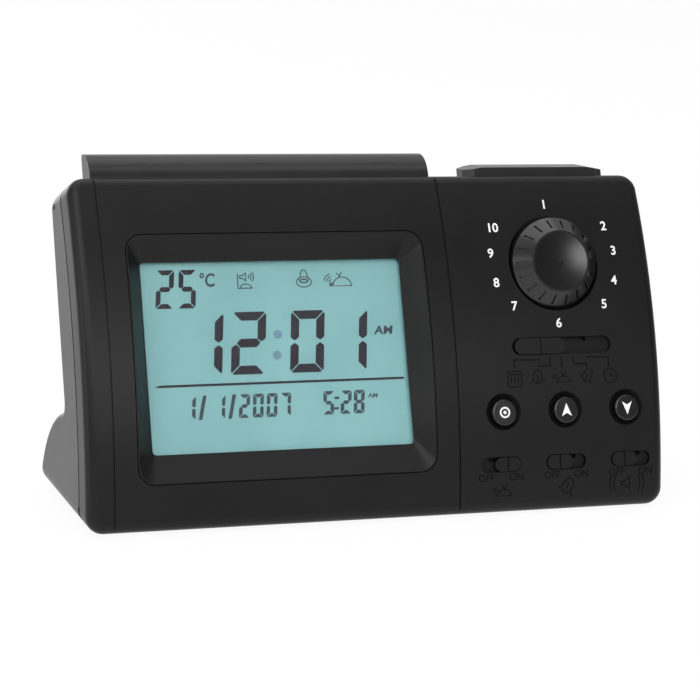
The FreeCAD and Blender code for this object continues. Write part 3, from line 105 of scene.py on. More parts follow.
# Most of these grains are finer than 0.1 mm on the real thing: they are drawn at 0.3 mm or more,
# the finest that still shows. A shine of 0.5 is a smooth plastic's, a matt skin has less.
plasticLooks = {
    # ABS moulded in a finely sparked tool: near black, satin, with a soft broad sheen
    "mouldedAbs": {"tones": ("#111112", "#131314"), "toneSize": 18.0, "roughness": (0.36, 0.39),
                   "grainSize": 0.45, "grainDepth": 0.006, "shine": 0.25},
    # ABS from a smoother tool: the same black, but at a slant it mirrors more of the floor
    "coverAbs": {"tones": ("#111112", "#131314"), "toneSize": 18.0, "roughness": (0.36, 0.39),
                 "grainSize": 0.45, "grainDepth": 0.006, "shine": 0.52},
    # ABS keys from a polished tool, tighter highlights; drawn a shade paler than the case's black,
    # which is painted light for the brighter light these keys catch
    "litPolishedAbs": {"tones": ("#232324", "#262627"), "toneSize": 9.0, "roughness": (0.285, 0.325),
                    "grainSize": 0.5, "grainDepth": 0.003, "shine": 0.28},
    # ABS buffed by fingers, as on a knob and buttons: the same black, glossier still
    "buffedAbs": {"tones": ("#131314", "#161617"), "toneSize": 8.0, "roughness": (0.21, 0.24),
                  "grainSize": 0.8, "grainDepth": 0.001, "shine": 0.55},
    # the same black ABS drawn darker and rougher: painted shade, for the shade inside the face's
    # moulded grooves
    "paintedReliefShade": {"tones": ("#0c0c0c", "#121212"), "toneSize": 1.5, "roughness": (0.62, 0.78),
                   "grainSize": 0.35, "grainDepth": 0.02, "shine": 0.08},
    # high-impact polystyrene, unpainted: grey inner parts with a dull skin
    "innerPolystyrene": {"tones": ("#4a4b4d", "#535456"), "toneSize": 5.0,
                         "roughness": (0.45, 0.58), "grainSize": 0.6, "grainDepth": 0.008},
    # carbon-filled silicone: charcoal, soft and dull
    "carbonSilicone": {"tones": ("#242427", "#2d2d30"), "toneSize": 2.0, "roughness": (0.6, 0.72),
                       "grainSize": 0.4, "grainDepth": 0.01},
    # nitrile feet, wiped matt by the shelf they stand on
    "nitrileRubber": {"tones": ("#1f1f1f", "#2a2a29"), "toneSize": 3.0, "roughness": (0.7, 0.85),
                      "grainSize": 0.5, "grainDepth": 0.02},
    # opal acrylic: milky white, faintly cloudy
    "opalAcrylic": {"tones": ("#e4e8e6", "#eef1f0"), "toneSize": 7.0, "roughness": (0.3, 0.38),
                    "grainSize": 0.8, "grainDepth": 0.004},
    # extruded PVC on the battery leads: dark red, smooth and slightly waxy
    "pvcInsulation": {"tones": ("#8c2b26", "#9a332c"), "toneSize": 4.0, "roughness": (0.38, 0.48),
                      "grainSize": 0.5, "grainDepth": 0.006},
    # the same extruded PVC in grey, on the other leads
    "greyInsulation": {"tones": ("#8f9296", "#9b9ea2"), "toneSize": 4.0,
                       "roughness": (0.38, 0.48), "grainSize": 0.5, "grainDepth": 0.006},
    # epoxy potting: black, self-levelled and shiny with a few ripples
    "pottingEpoxy": {"tones": ("#101012", "#17171a"), "toneSize": 3.0, "roughness": (0.12, 0.2),
                     "grainSize": 2.0, "grainDepth": 0.05},
    # coated paper pulp: a dark fibre mat
    "coatedPulp": {"tones": ("#26241f", "#37342d"), "toneSize": 1.2, "roughness": (0.75, 0.9),
                   "grainSize": 0.3, "grainDepth": 0.04},
    # sintered ferrite: dark grey ceramic, dull with bright specks
    "sinteredFerrite": {"tones": ("#38393b", "#47484a"), "toneSize": 0.8,
                        "roughness": (0.5, 0.65), "grainSize": 0.35, "grainDepth": 0.015},
    # pad-printed ink: opaque white with a slightly uneven film
    "padInk": {"tones": ("#eeeeec", "#f7f7f5"), "toneSize": 1.5, "roughness": (0.5, 0.6),
               "grainSize": 0.4, "grainDepth": 0.004},
    # switched-on liquid crystal: almost black with a violet cast, a little mottled
    "crystalDark": {"tones": ("#252129", "#2c2830"), "toneSize": 2.0, "roughness": (0.4, 0.5),
                    "grainSize": 0.6, "grainDepth": 0.003, "shine": 0.06},
    # the same crystal on thin segments, where a little of the glass shows through
    "crystalFaint": {"tones": ("#313a41", "#3c464d"), "toneSize": 2.0, "roughness": (0.4, 0.5),
                     "grainSize": 0.6, "grainDepth": 0.003, "shine": 0.06},
    # the same crystal while it blinks: half driven, a pale grey blue
    "crystalPale": {"tones": ("#5a7787", "#66808f"), "toneSize": 2.0, "roughness": (0.4, 0.5),
                    "grainSize": 0.6, "grainDepth": 0.003, "shine": 0.06},
}
metalLooks = {
    # nickel plate on steel: warm silver, even
    "nickelPlate": {"tones": ("#b9b5ac", "#c6c2b9"), "toneSize": 3.0, "roughness": (0.28, 0.36),
                    "grainSize": 0.5, "grainDepth": 0.006},
    # zinc plate on steel screws: cooler, clouded by the chromate dip
    "zincPlate": {"tones": ("#a9adb2", "#bcbdb6"), "toneSize": 1.2, "roughness": (0.28, 0.42),
                  "grainSize": 0.4, "grainDepth": 0.008},
    # drawn music wire: dark silver
    "musicWire": {"tones": ("#9a9b9e", "#a9aaac"), "toneSize": 1.0, "roughness": (0.28, 0.36),
                  "grainSize": 0.3, "grainDepth": 0.005},
    # rolled brass: yellow, with dull patches where fingers were
    "rolledBrass": {"tones": ("#c9a558", "#b8924a"), "toneSize": 2.5, "roughness": (0.28, 0.38),
                    "grainSize": 0.4, "grainDepth": 0.006},
    # tinned steel of the switches' cans: bright, slightly wavy
    "tinnedSteel": {"tones": ("#b4b6b8", "#c2c3c4"), "toneSize": 2.0, "roughness": (0.28, 0.38),
                    "grainSize": 0.5, "grainDepth": 0.01},
    # solder: bright tin with a frosted skin
    "tinSolder": {"tones": ("#b7b9bb", "#cfd0d1"), "toneSize": 0.8, "roughness": (0.28, 0.42),
                  "grainSize": 0.4, "grainDepth": 0.02},
}


def plasticMaterial(name, look):
    shine = look.get("shine", 0.5)
    return finishMaterial(name, look, {"IOR": 1.5, "Specular IOR Level": shine})


finishes = {name: plasticMaterial(name, look) for name, look in plasticLooks.items()}
for name, look in metalLooks.items():
    finishes[name] = finishMaterial(name, look, {"Metallic": 1.0})

# where the front's slots and wells lie: deeper than this below the curved face, inside this field;
# their floors get a darker tone there, painted shade
recessShadeLook = {"tone": "#0b0b0c", "roughness": 0.6, "faceRadius": 200.0, "axisY": 170.0813,
              "axisZ": -20.0, "depth": 0.28, "left": 23.0, "right": 82.0, "low": 8.0, "high": 86.0}


def paintRecessShade(material, look):
    # painted shade: the floors of the slots and wells get a darker tone and a higher roughness
    # than the face, for the shade that falls in them
    tree = material.node_tree
    shader = next(n for n in tree.nodes if n.type == "BSDF_PRINCIPLED")
    place = next(n for n in tree.nodes if n.type == "TEX_COORD").outputs["Object"]
    across = addNode(tree, "ShaderNodeVectorMath",
                     {"operation": "MULTIPLY_ADD", 1: (0.0, 1.0, 1.0),
                      2: (0.0, -look["axisY"] * mm, -look["axisZ"] * mm)}, {0: place})
    reach = addNode(tree, "ShaderNodeVectorMath", {"operation": "LENGTH"},
                    {0: across.outputs[0]}).outputs["Value"]
    edge = (look["faceRadius"] - look["depth"]) * mm
    share = addNode(tree, "ShaderNodeMath", {"operation": "LESS_THAN", 1: edge},
                    {0: reach}).outputs[0]
    axes = addNode(tree, "ShaderNodeSeparateXYZ", {}, {0: place})
    for axis, kind, limit in ((0, "GREATER_THAN", "left"), (0, "LESS_THAN", "right"),
                              (2, "GREATER_THAN", "low"), (2, "LESS_THAN", "high")):
        side = addNode(tree, "ShaderNodeMath", {"operation": kind, 1: look[limit] * mm},
                       {0: axes.outputs[axis]})
        share = addNode(tree, "ShaderNodeMath", {"operation": "MULTIPLY"},
                        {0: share, 1: side.outputs[0]}).outputs[0]
    # painted shade: inside the mask the face's tone is mixed towards the dark recess tone
    face = shader.inputs["Base Color"].links[0].from_socket
    tone = addNode(tree, "ShaderNodeMix", {"data_type": "RGBA", 7: linear(look["tone"])},
                   {0: share, 6: face})
    tree.links.new(tone.outputs[2], shader.inputs["Base Color"])
    gloss = shader.inputs["Roughness"].links[0].from_socket
    rough = addNode(tree, "ShaderNodeMix", {"data_type": "FLOAT", 3: look["roughness"]},
                    {0: share, 2: gloss})
    tree.links.new(rough.outputs[0], shader.inputs["Roughness"])


# the front shell's finish: the moulded ABS with painted shade on the floors of its slots and wells
finishes["facedAbsRecessShade"] = plasticMaterial("facedAbsRecessShade", plasticLooks["mouldedAbs"])
paintRecessShade(finishes["facedAbsRecessShade"], recessShadeLook)

# An index below acrylic's 1.49 does what an anti-glare coat does: less of the room lies over
# the figures behind.
windowLook = {"tint": "#fbfefd", "roughness": 0.02, "ior": 1.25, "shine": 0.1,
              "scuffSize": 14.0, "scuffDepth": 0.004, "scuffDetail": 2.0, "scuffStrength": 0.3}


def castAcrylic(look):
    # clear cast acrylic: nearly no tint, a thin reflection and the faintest handling marks
    material, tree, shader, place = startMaterial("castAcrylic", {
        "Base Color": linear(look["tint"]), "Roughness": look["roughness"], "IOR": look["ior"],
        "Transmission Weight": 1.0, "Specular IOR Level": look["shine"]})
    scuff = addNode(tree, "ShaderNodeTexNoise",
                    {"Scale": 1 / (look["scuffSize"] * mm), "Detail": look["scuffDetail"]},
                    {"Vector": place}).outputs[0]
    bump = addNode(tree, "ShaderNodeBump", {"Strength": look["scuffStrength"],
                                            "Distance": look["scuffDepth"] * mm},
                   {"Height": scuff})
    tree.links.new(bump.outputs[0], shader.inputs["Normal"])
    clear = addNode(tree, "ShaderNodeBsdfTransparent")
    path = addNode(tree, "ShaderNodeLightPath")  # lamps reach the display through the window
    both = addNode(tree, "ShaderNodeMixShader", {},
                   {0: path.outputs["Is Shadow Ray"], 1: shader.outputs[0], 2: clear.outputs[0]})
    output = next(n for n in tree.nodes if n.type == "OUTPUT_MATERIAL")
    tree.links.new(both.outputs[0], output.inputs["Surface"])
    return material


filmLook = {"tones": ("#749ea1", "#6d979c"), "warm": "#7a9b97", "roughness": 0.5, "shine": 0.12,
            "blotchSize": 22.0, "blotchDetail": 4.0, "blotchRange": (0.38, 0.62),
            "speckSize": 0.55, "speckDetail": 1.0, "speckRange": (0.4, 0.7), "speckShare": 0.45}


def polariserFilm(look):
    # reflective polariser behind liquid crystal: grey green, broad blotches and silvery specks
    material, tree, shader, place = startMaterial("polariserFilm", {
        "Roughness": look["roughness"], "IOR": 1.5, "Specular IOR Level": look["shine"]})
    blotchLow, blotchHigh = look["blotchRange"]
    speckLow, speckHigh = look["speckRange"]
    blotch = addNode(tree, "ShaderNodeTexNoise",
                     {"Scale": 1 / (look["blotchSize"] * mm), "Detail": look["blotchDetail"]},
                     {"Vector": place}).outputs[0]
    spread = addNode(tree, "ShaderNodeMapRange", {"From Min": blotchLow, "From Max": blotchHigh},
                     {"Value": blotch}).outputs[0]
    tone = twoTones(tree, spread, *look["tones"])
    speck = addNode(tree, "ShaderNodeTexNoise",
                    {"Scale": 1 / (look["speckSize"] * mm), "Detail": look["speckDetail"]},
                    {"Vector": place}).outputs[0]
    share = addNode(tree, "ShaderNodeMapRange", {"From Min": speckLow, "From Max": speckHigh,
                                                 "To Max": look["speckShare"]},
                    {"Value": speck})
    mixed = addNode(tree, "ShaderNodeMix", {"data_type": "RGBA", 7: linear(look["warm"])},
                    {0: share.outputs[0], 6: tone})
    tree.links.new(mixed.outputs[2], shader.inputs["Base Color"])
    return material


boardLook = {"mask": "#2f5a3a", "copper": "#4d7d50", "traceSize": 2.6, "traceShare": 0.07,
             "roughness": 0.4, "relief": 0.03, "reliefStrength": 0.4}


def solderMask(look):
    # glass-epoxy board under screened green mask: the copper tracks show as a paler net
    material, tree, shader, place = startMaterial("solderMask", {
        "Roughness": look["roughness"], "IOR": 1.52})
    scale = 1 / (look["traceSize"] * mm)
    cells = addNode(tree, "ShaderNodeTexVoronoi",
                    {"feature": "F1", "distance": "CHEBYCHEV", "Scale": scale}, {"Vector": place})
    edge = addNode(tree, "ShaderNodeTexVoronoi", {"feature": "DISTANCE_TO_EDGE", "Scale": scale},
                   {"Vector": place})
    track = addNode(tree, "ShaderNodeMath", {"operation": "LESS_THAN", 1: look["traceShare"]},
                    {0: edge.outputs["Distance"]}).outputs[0]
    tree.links.new(twoTones(tree, track, look["mask"], look["copper"]),
                   shader.inputs["Base Color"])
    bump = addNode(tree, "ShaderNodeBump", {"Strength": look["reliefStrength"],
                                            "Distance": look["relief"] * mm},
                   {"Height": cells.outputs[0]})
    tree.links.new(bump.outputs[0], shader.inputs["Normal"])
    return material


# the two cells lie head to tail, one on each side of middleY; the other places are along a cell
cellLook = {"sleeve": "#2b3f63", "band": "#c9ccd0", "steel": "#b9babc", "bandFrom": 14.0,
            "capFrom": 27.1, "baseTo": -21.3, "middleY": 15.4, "wrinkleSize": 4.0,
            "wrinkleDetail": 2.0, "roughness": (0.22, 0.36)}


def shrinkSleeve(look):
    # cell in a shrunk PVC sleeve: plain blue with a silver band, bare steel at both ends
    material, tree, shader, place = startMaterial("shrinkSleeve", {"IOR": 1.5})
    low, high = look["roughness"]
    axes = addNode(tree, "ShaderNodeSeparateXYZ", {}, {0: place})
    row = addNode(tree, "ShaderNodeMath", {"operation": "GREATER_THAN", 1: look["middleY"] * mm},
                  {0: axes.outputs[1]})
    side = addNode(tree, "ShaderNodeMapRange", {"To Min": -1.0, "To Max": 1.0},
                   {"Value": row.outputs[0]})
    along = addNode(tree, "ShaderNodeMath", {"operation": "MULTIPLY"},
                    {0: axes.outputs[0], 1: side.outputs[0]}).outputs[0]
    band, cap, base = (
        addNode(tree, "ShaderNodeMath", {"operation": kind, 1: look[limit] * mm}, {0: along})
        for kind, limit in (("GREATER_THAN", "bandFrom"), ("GREATER_THAN", "capFrom"),
                            ("LESS_THAN", "baseTo")))
    steel = addNode(tree, "ShaderNodeMath", {"operation": "MAXIMUM"},
                    {0: cap.outputs[0], 1: base.outputs[0]})
    sleeve = twoTones(tree, band.outputs[0], look["sleeve"], look["band"])
    mixed = addNode(tree, "ShaderNodeMix", {"data_type": "RGBA", 7: linear(look["steel"])},
                    {0: steel.outputs[0], 6: sleeve})
    tree.links.new(mixed.outputs[2], shader.inputs["Base Color"])
    tree.links.new(steel.outputs[0], shader.inputs["Metallic"])
    wrinkle = addNode(tree, "ShaderNodeTexNoise",
                      {"Scale": 1 / (look["wrinkleSize"] * mm), "Detail": look["wrinkleDetail"]},
                      {"Vector": place})
    gloss = addNode(tree, "ShaderNodeMapRange", {"To Min": low, "To Max": high},
                    {"Value": wrinkle.outputs[0]})
    tree.links.new(gloss.outputs[0], shader.inputs["Roughness"])
    return material


ribbonLook = {"grey": "#a3a6aa", "grooveShade": "#85888c", "corePitch": 1.0, "roughness": 0.45,
              "relief": 0.1, "reliefStrength": 0.6}


def ribbonPvc(look):
    # flat extruded PVC ribbon: ribs of one core each, across the cable; the grooves between the
    # ribs are painted a darker grey, which is painted shade
    material, tree, shader, place = startMaterial("ribbonPvc", {
        "Roughness": look["roughness"], "IOR": 1.5})
    waveLength = 0.31416  # from rib to rib in metres where the wave's scale is 1
    ribs = addNode(tree, "ShaderNodeTexWave",
                   {"wave_type": "BANDS", "bands_direction": "Z",
                    "Scale": waveLength / (look["corePitch"] * mm)}, {"Vector": place})
    # painted shade: darker grey where the bands fall low, in the grooves
    tree.links.new(twoTones(tree, ribs.outputs["Fac"], look["grooveShade"], look["grey"]),
                   shader.inputs["Base Color"])
    bump = addNode(tree, "ShaderNodeBump", {"Strength": look["reliefStrength"],
                                            "Distance": look["relief"] * mm},
                   {"Height": ribs.outputs["Fac"]})
    tree.links.new(bump.outputs[0], shader.inputs["Normal"])
    return material


finishes["castAcrylic"] = castAcrylic(windowLook)
finishes["polariserFilm"] = polariserFilm(filmLook)
finishes["solderMask"] = solderMask(boardLook)
finishes["shrinkSleeve"] = shrinkSleeve(cellLook)
finishes["ribbonPvc"] = ribbonPvc(ribbonLook)

dressing = {
    "facedAbsRecessShade": ["front_shell"],
    "coverAbs": ["rear_cover", "battery_door"],
    "mouldedAbs": ["display_bezel", "mode_slider", "azan_slider", "alarm_slider", "sound_slider"],
    "buffedAbs": ["selector_knob", "set_button", "up_button", "down_button"],
    "litPolishedAbs": ["snooze_bar", "stop_button"],
    "castAcrylic": ["lens"],
    "polariserFilm": ["lcd_panel"],
    "opalAcrylic": ["light_guide"],
    "carbonSilicone": ["contact_strips", "set_dome", "up_dome", "down_dome"],
    "innerPolystyrene": ["lcd_frame", "selector_rotor", "mode_lever", "azan_lever",
                         "alarm_lever", "sound_lever"],
    "solderMask": ["main_board", "control_board", "key_board"],
    "pottingEpoxy": ["chip_blob", "temperature_sensor"],
    "nickelPlate": ["clock_crystal", "battery_contacts", "speaker_basket"],
    "zincPlate": ["main_board_screws", "control_board_screws", "key_board_screws",
                  "speaker_screws", "case_screws"],
    "musicWire": ["detent_spring", "snooze_springs", "stop_springs", "battery_springs"],
    "rolledBrass": ["rotor_wiper"],
    "tinnedSteel": ["mode_switch", "on_off_switches", "key_switches"],
    "shrinkSleeve": ["battery_cells"],
    "sinteredFerrite": ["speaker_magnet"],
    "coatedPulp": ["speaker_cone"],
    "nitrileRubber": ["rubber_feet"],
    "ribbonPvc": ["ribbon_cable"],
    "pvcInsulation": ["battery_leads"],
    "greyInsulation": ["key_leads", "speaker_leads"],
}
for finish, names in dressing.items():
    for name in names:
        slots = nodes[name].data.materials
        slots.clear()
        slots.append(finishes[finish])
bare = sorted(set(nodes) - {name for names in dressing.values() for name in names})
print("clock:", len(finishes), "finishes made, bare nodes:", bare)

# where things lie: the display's plane and the curved control face, in millimetres
displayPlane = {"origin": (-28.45, -11.7255, 45.4095), "lean": 21.9, "glassFront": -1.8}
panelFace = {"origin": (54.68976, 0.06456, 66.42337), "lean": 17.5, "radius": 200.0,
             "axisY": -31.298, "axisZ": -188.136}


def leaning(plane, x, y, z):
    # a point of a plane that leans back: x to the right, y up it, z out of it
    lean = math.radians(plane["lean"])
    ox, oy, oz = plane["origin"]
    return Vector((ox + x, oy + y * math.sin(lean) - z * math.cos(lean),
                   oz + y * math.cos(lean) + z * math.sin(lean))) * mm


def onGlass(x, y, z):
    return leaning(displayPlane, x, y, displayPlane["glassFront"] + z)


def onFace(x, y, z):
    face = panelFace
    height = face["axisZ"] + math.sqrt(face["radius"] ** 2 - (y - face["axisY"]) ** 2)
    return leaning(face, x, y, height + z)


def heightsOver(plane, name):
    # how far each point of a node stands out of a plane, in millimetres
    lean = math.radians(plane["lean"])
    oy, oz = plane["origin"][1:]
    return [-(v.co.y / mm - oy) * math.cos(lean) + (v.co.z / mm - oz) * math.sin(lean)
            for v in nodes[name].data.vertices]


def putInScene(thing):
    bpy.context.scene.collection.objects.link(thing)


class Sheaf:  # flat shapes of one ink, gathered into one closed mesh
    sharpest = 0.5  # the mitre of a sharper corner than this is cut short

    def __init__(self, place, film):  # film: the heights of its underside and its top
        self.place, self.film = place, film
        self.vertices, self.faces = [], []

    def fill(self, outline):  # a closed outline, counter-clockwise
        start = len(self.vertices)
        count = len(outline)
        for height in self.film:
            self.vertices += [self.place(x, y, height) for x, y in outline]
        self.faces.append([start + i for i in reversed(range(count))])
        self.faces.append([start + count + i for i in range(count)])
        for i in range(count):
            j = (i + 1) % count
            self.faces.append([start + i, start + j, start + count + j, start + count + i])

    def stroke(self, points, width, closed=False):  # a line of even width with mitred corners
        points = [Vector(p) for p in points]
        count = len(points)
        start = len(self.vertices)
        for i, point in enumerate(points):
            before = points[i - 1] if (closed or i > 0) else point
            after = points[(i + 1) % count] if (closed or i < count - 1) else point
            leave = (after - point).normalized()
            arrive = (point - before).normalized() if before is not point else leave
            if after is point:
                leave = arrive
            middle = (arrive + leave).normalized()
            reach = width / 2 / max(self.sharpest, middle.dot(arrive))
            across = Vector((-middle.y, middle.x)) * reach
            for height in self.film:
                self.vertices += [self.place(*(point + across), height),
                                  self.place(*(point - across), height)]
        for i in range(count if closed else count - 1):
            a, b = start + 4 * i, start + 4 * ((i + 1) % count)
            self.faces += [[a + 2, a + 3, b + 3, b + 2], [a + 1, a, b, b + 1],
                           [a, a + 2, b + 2, b], [a + 3, a + 1, b + 1, b + 3]]
        if not closed:
            a, b = start, start + 4 * (count - 1)
            self.faces += [[a, a + 1, a + 3, a + 2], [b + 1, b, b + 2, b + 3]]

    def finish(self, name, material, body, slot):
        mesh = bpy.data.meshes.new(name)
        mesh.from_pydata([tuple(v) for v in self.vertices], [], self.faces)
        return addPiece(name, mesh, material, body)


weldDistance = 0.000001  # metres


def addPiece(name, mesh, material, body):
    work = bmesh.new()
    work.from_mesh(mesh)
    bmesh.ops.remove_doubles(work, verts=work.verts, dist=weldDistance)
    bmesh.ops.recalc_face_normals(work, faces=work.faces)
    work.to_mesh(mesh)
    work.free()
    mesh.materials.clear()
    mesh.materials.append(finishes[material])
    for polygon in mesh.polygons:
        polygon.material_index = 0
        polygon.use_smooth = False
    piece = bpy.data.objects.new(name, mesh)
    putInScene(piece)
    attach(piece, body)
    return piece


def arc(x, y, radiusX, radiusY, start, end, steps=12):
    turns = [math.radians(start + (end - start) * i / steps) for i in range(steps + 1)]
    return [(x + radiusX * math.cos(t), y + radiusY * math.sin(t)) for t in turns]


def ring(x, y, radiusX, radiusY, points):  # a closed outline, its first point not repeated
    return arc(x, y, radiusX, radiusY, 0, 360 * (points - 1) / points, points - 1)


def turned(points, angle, x, y):
    turn = math.radians(angle)
    return [(x + px * math.cos(turn) - py * math.sin(turn),
             y + px * math.sin(turn) + py * math.cos(turn)) for px, py in points]


# the liquid crystal's picture: seven-segment figures that lean a little
figureLook = {"lean": 0.1, "gap": 0.1008, "fullBar": 1.6, "corner": 0.36, "joint": 0.13,
              "shoulder": 0.38, "thickness": 0.05}
litSegments = {"0": "abcdef", "1": "bc", "2": "abged", "5": "afgcd", "7": "abc", "8": "abcdefg"}
displayRows = {
    "time": {"height": 17.55, "width": 9.95, "bar": 2.45, "bottom": -5.05,
             "figures": (("1", -26.35), ("2", -13.9), ("0", 3.35), ("1", 16.15))},
    "warmth": {"height": 10.8, "width": 5.05, "bar": 1.38, "bottom": 13.9,
               "figures": (("2", -34.1), ("5", -27.7))},
    "date": {"height": 6.6, "width": 3.1, "bar": 1.0, "bottom": -17.15,
             "figures": (("1", -28.1), ("1", -19.6), ("2", -12.5), ("0", -8.5), ("0", -4.5),
                         ("7", -0.5))},
    "call": {"height": 6.6, "width": 3.2, "bar": 1.05, "bottom": -17.15,
             "figures": (("5", 12.1), ("2", 17.3), ("8", 21.2))},
}


def segmentOutlines(row):
    w, h, t = row["width"], row["height"], row["bar"]
    g = figureLook["gap"] * min(1.0, t / figureLook["fullBar"])  # a thinner bar has less gap
    c = figureLook["corner"] * t
    m, k = h / 2, figureLook["joint"] * t
    s = m + t * figureLook["shoulder"] + k
    top = [(c / 2 + g, h - c / 2 + g), (t + 2 * g, h - t), (w - t - 2 * g, h - t),
           (w - c / 2 - g, h - c / 2 + g), (w - c, h), (c, h)]
    upperLeft = [(0, h - c), (0, s), (t / 2, m + k), (t, s), (t, h - t - 2 * g),
                 (c / 2 - g, h - c / 2 - g)]
    middle = [(t / 2 + k, m), (t + k / 2, m - t / 2), (w - t - k / 2, m - t / 2),
              (w - t / 2 - k, m), (w - t - k / 2, m + t / 2), (t + k / 2, m + t / 2)]
    return {"a": top, "f": upperLeft, "g": middle,
            "b": [(w - x, y) for x, y in reversed(upperLeft)],
            "e": [(x, h - y) for x, y in reversed(upperLeft)],
            "c": [(w - x, h - y) for x, y in upperLeft],
            "d": [(w - x, h - y) for x, y in top]}


def drawFigures(sheaf, row):
    shapes = segmentOutlines(row)
    for figure, left in row["figures"]:
        for letter in litSegments[figure]:
            sheaf.fill([(left + x + figureLook["lean"] * y, row["bottom"] + y)
                        for x, y in shapes[letter]])


def flatText(text, x, y, place, film, look):
    # figures or a plain word as a closed mesh, laid on a surface
    curve = bpy.data.curves.new("lettering", "FONT")
    curve.body = text
    curve.size = look["size"]
    curve.offset = look["weight"]
    curve.shear = look.get("shear", 0.0)
    curve.align_x = "CENTER"
    curve.align_y = "CENTER"
    curve.extrude = 0.5
    curve.resolution_u = 6
    holder = bpy.data.objects.new("lettering", curve)
    putInScene(holder)
    bpy.context.view_layer.update()
    graph = bpy.context.evaluated_depsgraph_get()
    mesh = bpy.data.meshes.new_from_object(holder.evaluated_get(graph))
    bpy.data.objects.remove(holder)
    low, high = film
    squeeze = look.get("squeeze", 1.0)
    for vertex in mesh.vertices:
        height = high if vertex.co.z > 0 else low
        vertex.co = place(x + vertex.co.x * squeeze, y + vertex.co.y, height)
    return mesh


def joinMeshes(name, meshes):
    work = bmesh.new()
    for mesh in meshes:
        work.from_mesh(mesh)
    joined = bpy.data.meshes.new(name)
    work.to_mesh(joined)
    work.free()
    return joined


glassFilm = (0.0, figureLook["thickness"])
timeFigures = Sheaf(onGlass, glassFilm)
for rowName in ("time", "warmth"):
    drawFigures(timeFigures, displayRows[rowName])
timeFigures.fill([(-35.9, -7.86), (-34.4, -7.98), (36.9, -7.9), (37.4, -7.56), (36.9, -7.22),
                  (-34.4, -7.32)])  # the rule under the time
timeFigures.finish("displayTime", "crystalDark", "housing", "lcd_glass")

# between the figures: two strokes of the date, and the call time's colon
strokeLook = {"places": ((-23.55, -21.8), (-15.05, -13.3)), "low": -17.2, "high": -10.5}
smallFigures = Sheaf(onGlass, glassFilm)
for rowName in ("date", "call"):
    drawFigures(smallFigures, displayRows[rowName])
for foot, top in strokeLook["places"]:
    low, high = strokeLook["low"], strokeLook["high"]
    smallFigures.fill([(foot - 0.5, low), (foot + 0.55, low), (top + 0.5, high),
                       (top - 0.55, high)])
for x, y in ((16.55, -12.55), (16.2, -15.5)):
    smallFigures.fill([(x - 0.75, y - 0.35), (x + 0.65, y - 0.35), (x + 0.75, y + 0.35),
                       (x - 0.65, y + 0.35)])
smallFigures.finish("displayDate", "crystalFaint", "housing", "lcd_glass")

colonLook = {"radius": 1.3, "places": ((0.65, 5.95), (0.0, 0.1))}
colonDots = Sheaf(onGlass, glassFilm)
for x, y in colonLook["places"]:
    colonDots.fill(ring(x, y, colonLook["radius"], colonLook["radius"], 24))
colonDots.finish("displayColon", "crystalPale", "housing", "lcd_glass")

unitLooks = (
    {"text": "°C", "x": -18.9, "y": 21.5, "size": 5.2, "weight": 0.1, "shear": 0.1,
     "squeeze": 0.82},
    {"text": "AM", "x": 32.1, "y": 6.2, "size": 3.3, "weight": 0.09, "shear": 0.15,
     "squeeze": 1.15},
    {"text": "AM", "x": 27.3, "y": -12.3, "size": 1.7, "weight": 0.04, "shear": 0.15,
     "squeeze": 1.2},
)
units = [flatText(look["text"], look["x"], look["y"], onGlass, glassFilm, look)
         for look in unitLooks]
addPiece("displayUnits", joinMeshes("displayUnits", units), "crystalFaint", "housing")

symbolLook = {"line": 0.3, "bold": 0.39, "dot": 0.42}
line = symbolLook["line"]
symbols = Sheaf(onGlass, glassFilm)
# a loudspeaker with its waves, over a small hood
symbols.stroke([(-9.9, 23.4), (-9.9, 19.2), (-5.6, 19.2)], line)
symbols.stroke(arc(-7.6, 19.3, 1.6, 1.1, 180, 0, 8), line)
symbols.stroke([(-9.2, 22.8), (-8.4, 22.8), (-7.5, 23.5), (-7.5, 21.3), (-8.4, 22.0),
                (-9.2, 22.0)], line, True)
for reach in (0.7, 1.4, 2.1):
    symbols.stroke(arc(-7.3, 22.4, reach, reach, -40, 40, 6), line)
# a bell
symbols.stroke(ring(9.55, 20.6, 2.2, 1.45, 24), line, True)
symbols.stroke([(7.9, 21.3), (8.5, 22.0), (8.7, 23.2)] + arc(9.6, 23.3, 0.75, 0.75, 160, 20, 8)
               + [(10.5, 23.2), (10.7, 22.0), (11.2, 21.3)], line)
symbols.stroke(arc(9.55, 20.9, 1.2, 0.45, 0, 345, 15), symbolLook["bold"], True)
# a dome with a finial, and waves beside it
symbols.stroke([(17.2, 19.3), (23.7, 19.3)] + arc(20.9, 19.5, 2.7, 2.3, 5, 175, 12), line, True)
symbols.stroke([(19.4, 23.0), (20.2, 22.0), (20.9, 23.2)], line)
for reach in (1.1, 1.9, 2.7):
    symbols.stroke(arc(18.1, 20.1, reach, reach, 105, 165, 6), line)
symbols.stroke(ring(17.6, 19.75, 0.35, 0.35, 12), symbolLook["dot"], True)
symbols.finish("displaySymbols", "crystalFaint", "housing", "lcd_glass")
print("clock: display picture drawn")

# plain figures round the dial and marks on the buttons, pad printed
inkFilm = (-0.02, 0.03)  # it starts just inside the plastic, so no gap shows under it
dialLook = {"size": 3.7, "weight": 0.07,
            "marks": (("1", -0.3, 17.4), ("2", 17.6, 10.7), ("3", 19.6, 3.3), ("4", 18.6, -5.5),
                      ("5", 14.6, -12.4), ("6", -0.3, -17.6), ("7", -13.7, -12.4),
                      ("8", -18.5, -5.5), ("9", -19.2, 3.1), ("10", -17.6, 10.6))}
dialFigures = [flatText(text, x, y, onFace, inkFilm, dialLook)
               for text, x, y in dialLook["marks"]]
addPiece("dialFigures", joinMeshes("dialFigures", dialFigures), "padInk", "housing")

buttonLook = {"pitch": 19.2, "row": -42.6, "ring": 1.35, "ringLine": 0.5, "dot": 0.5,
              "arrow": ((0, 2.0), (-1.55, -1.75), (0, -0.85), (1.55, -1.75))}


def onKey(name, x, way):  # way: 1 upright, -1 upside down
    top = max(heightsOver(panelFace, name))
    return lambda px, py, pz: leaning(panelFace, x + px, buttonLook["row"] + way * py, top + pz)


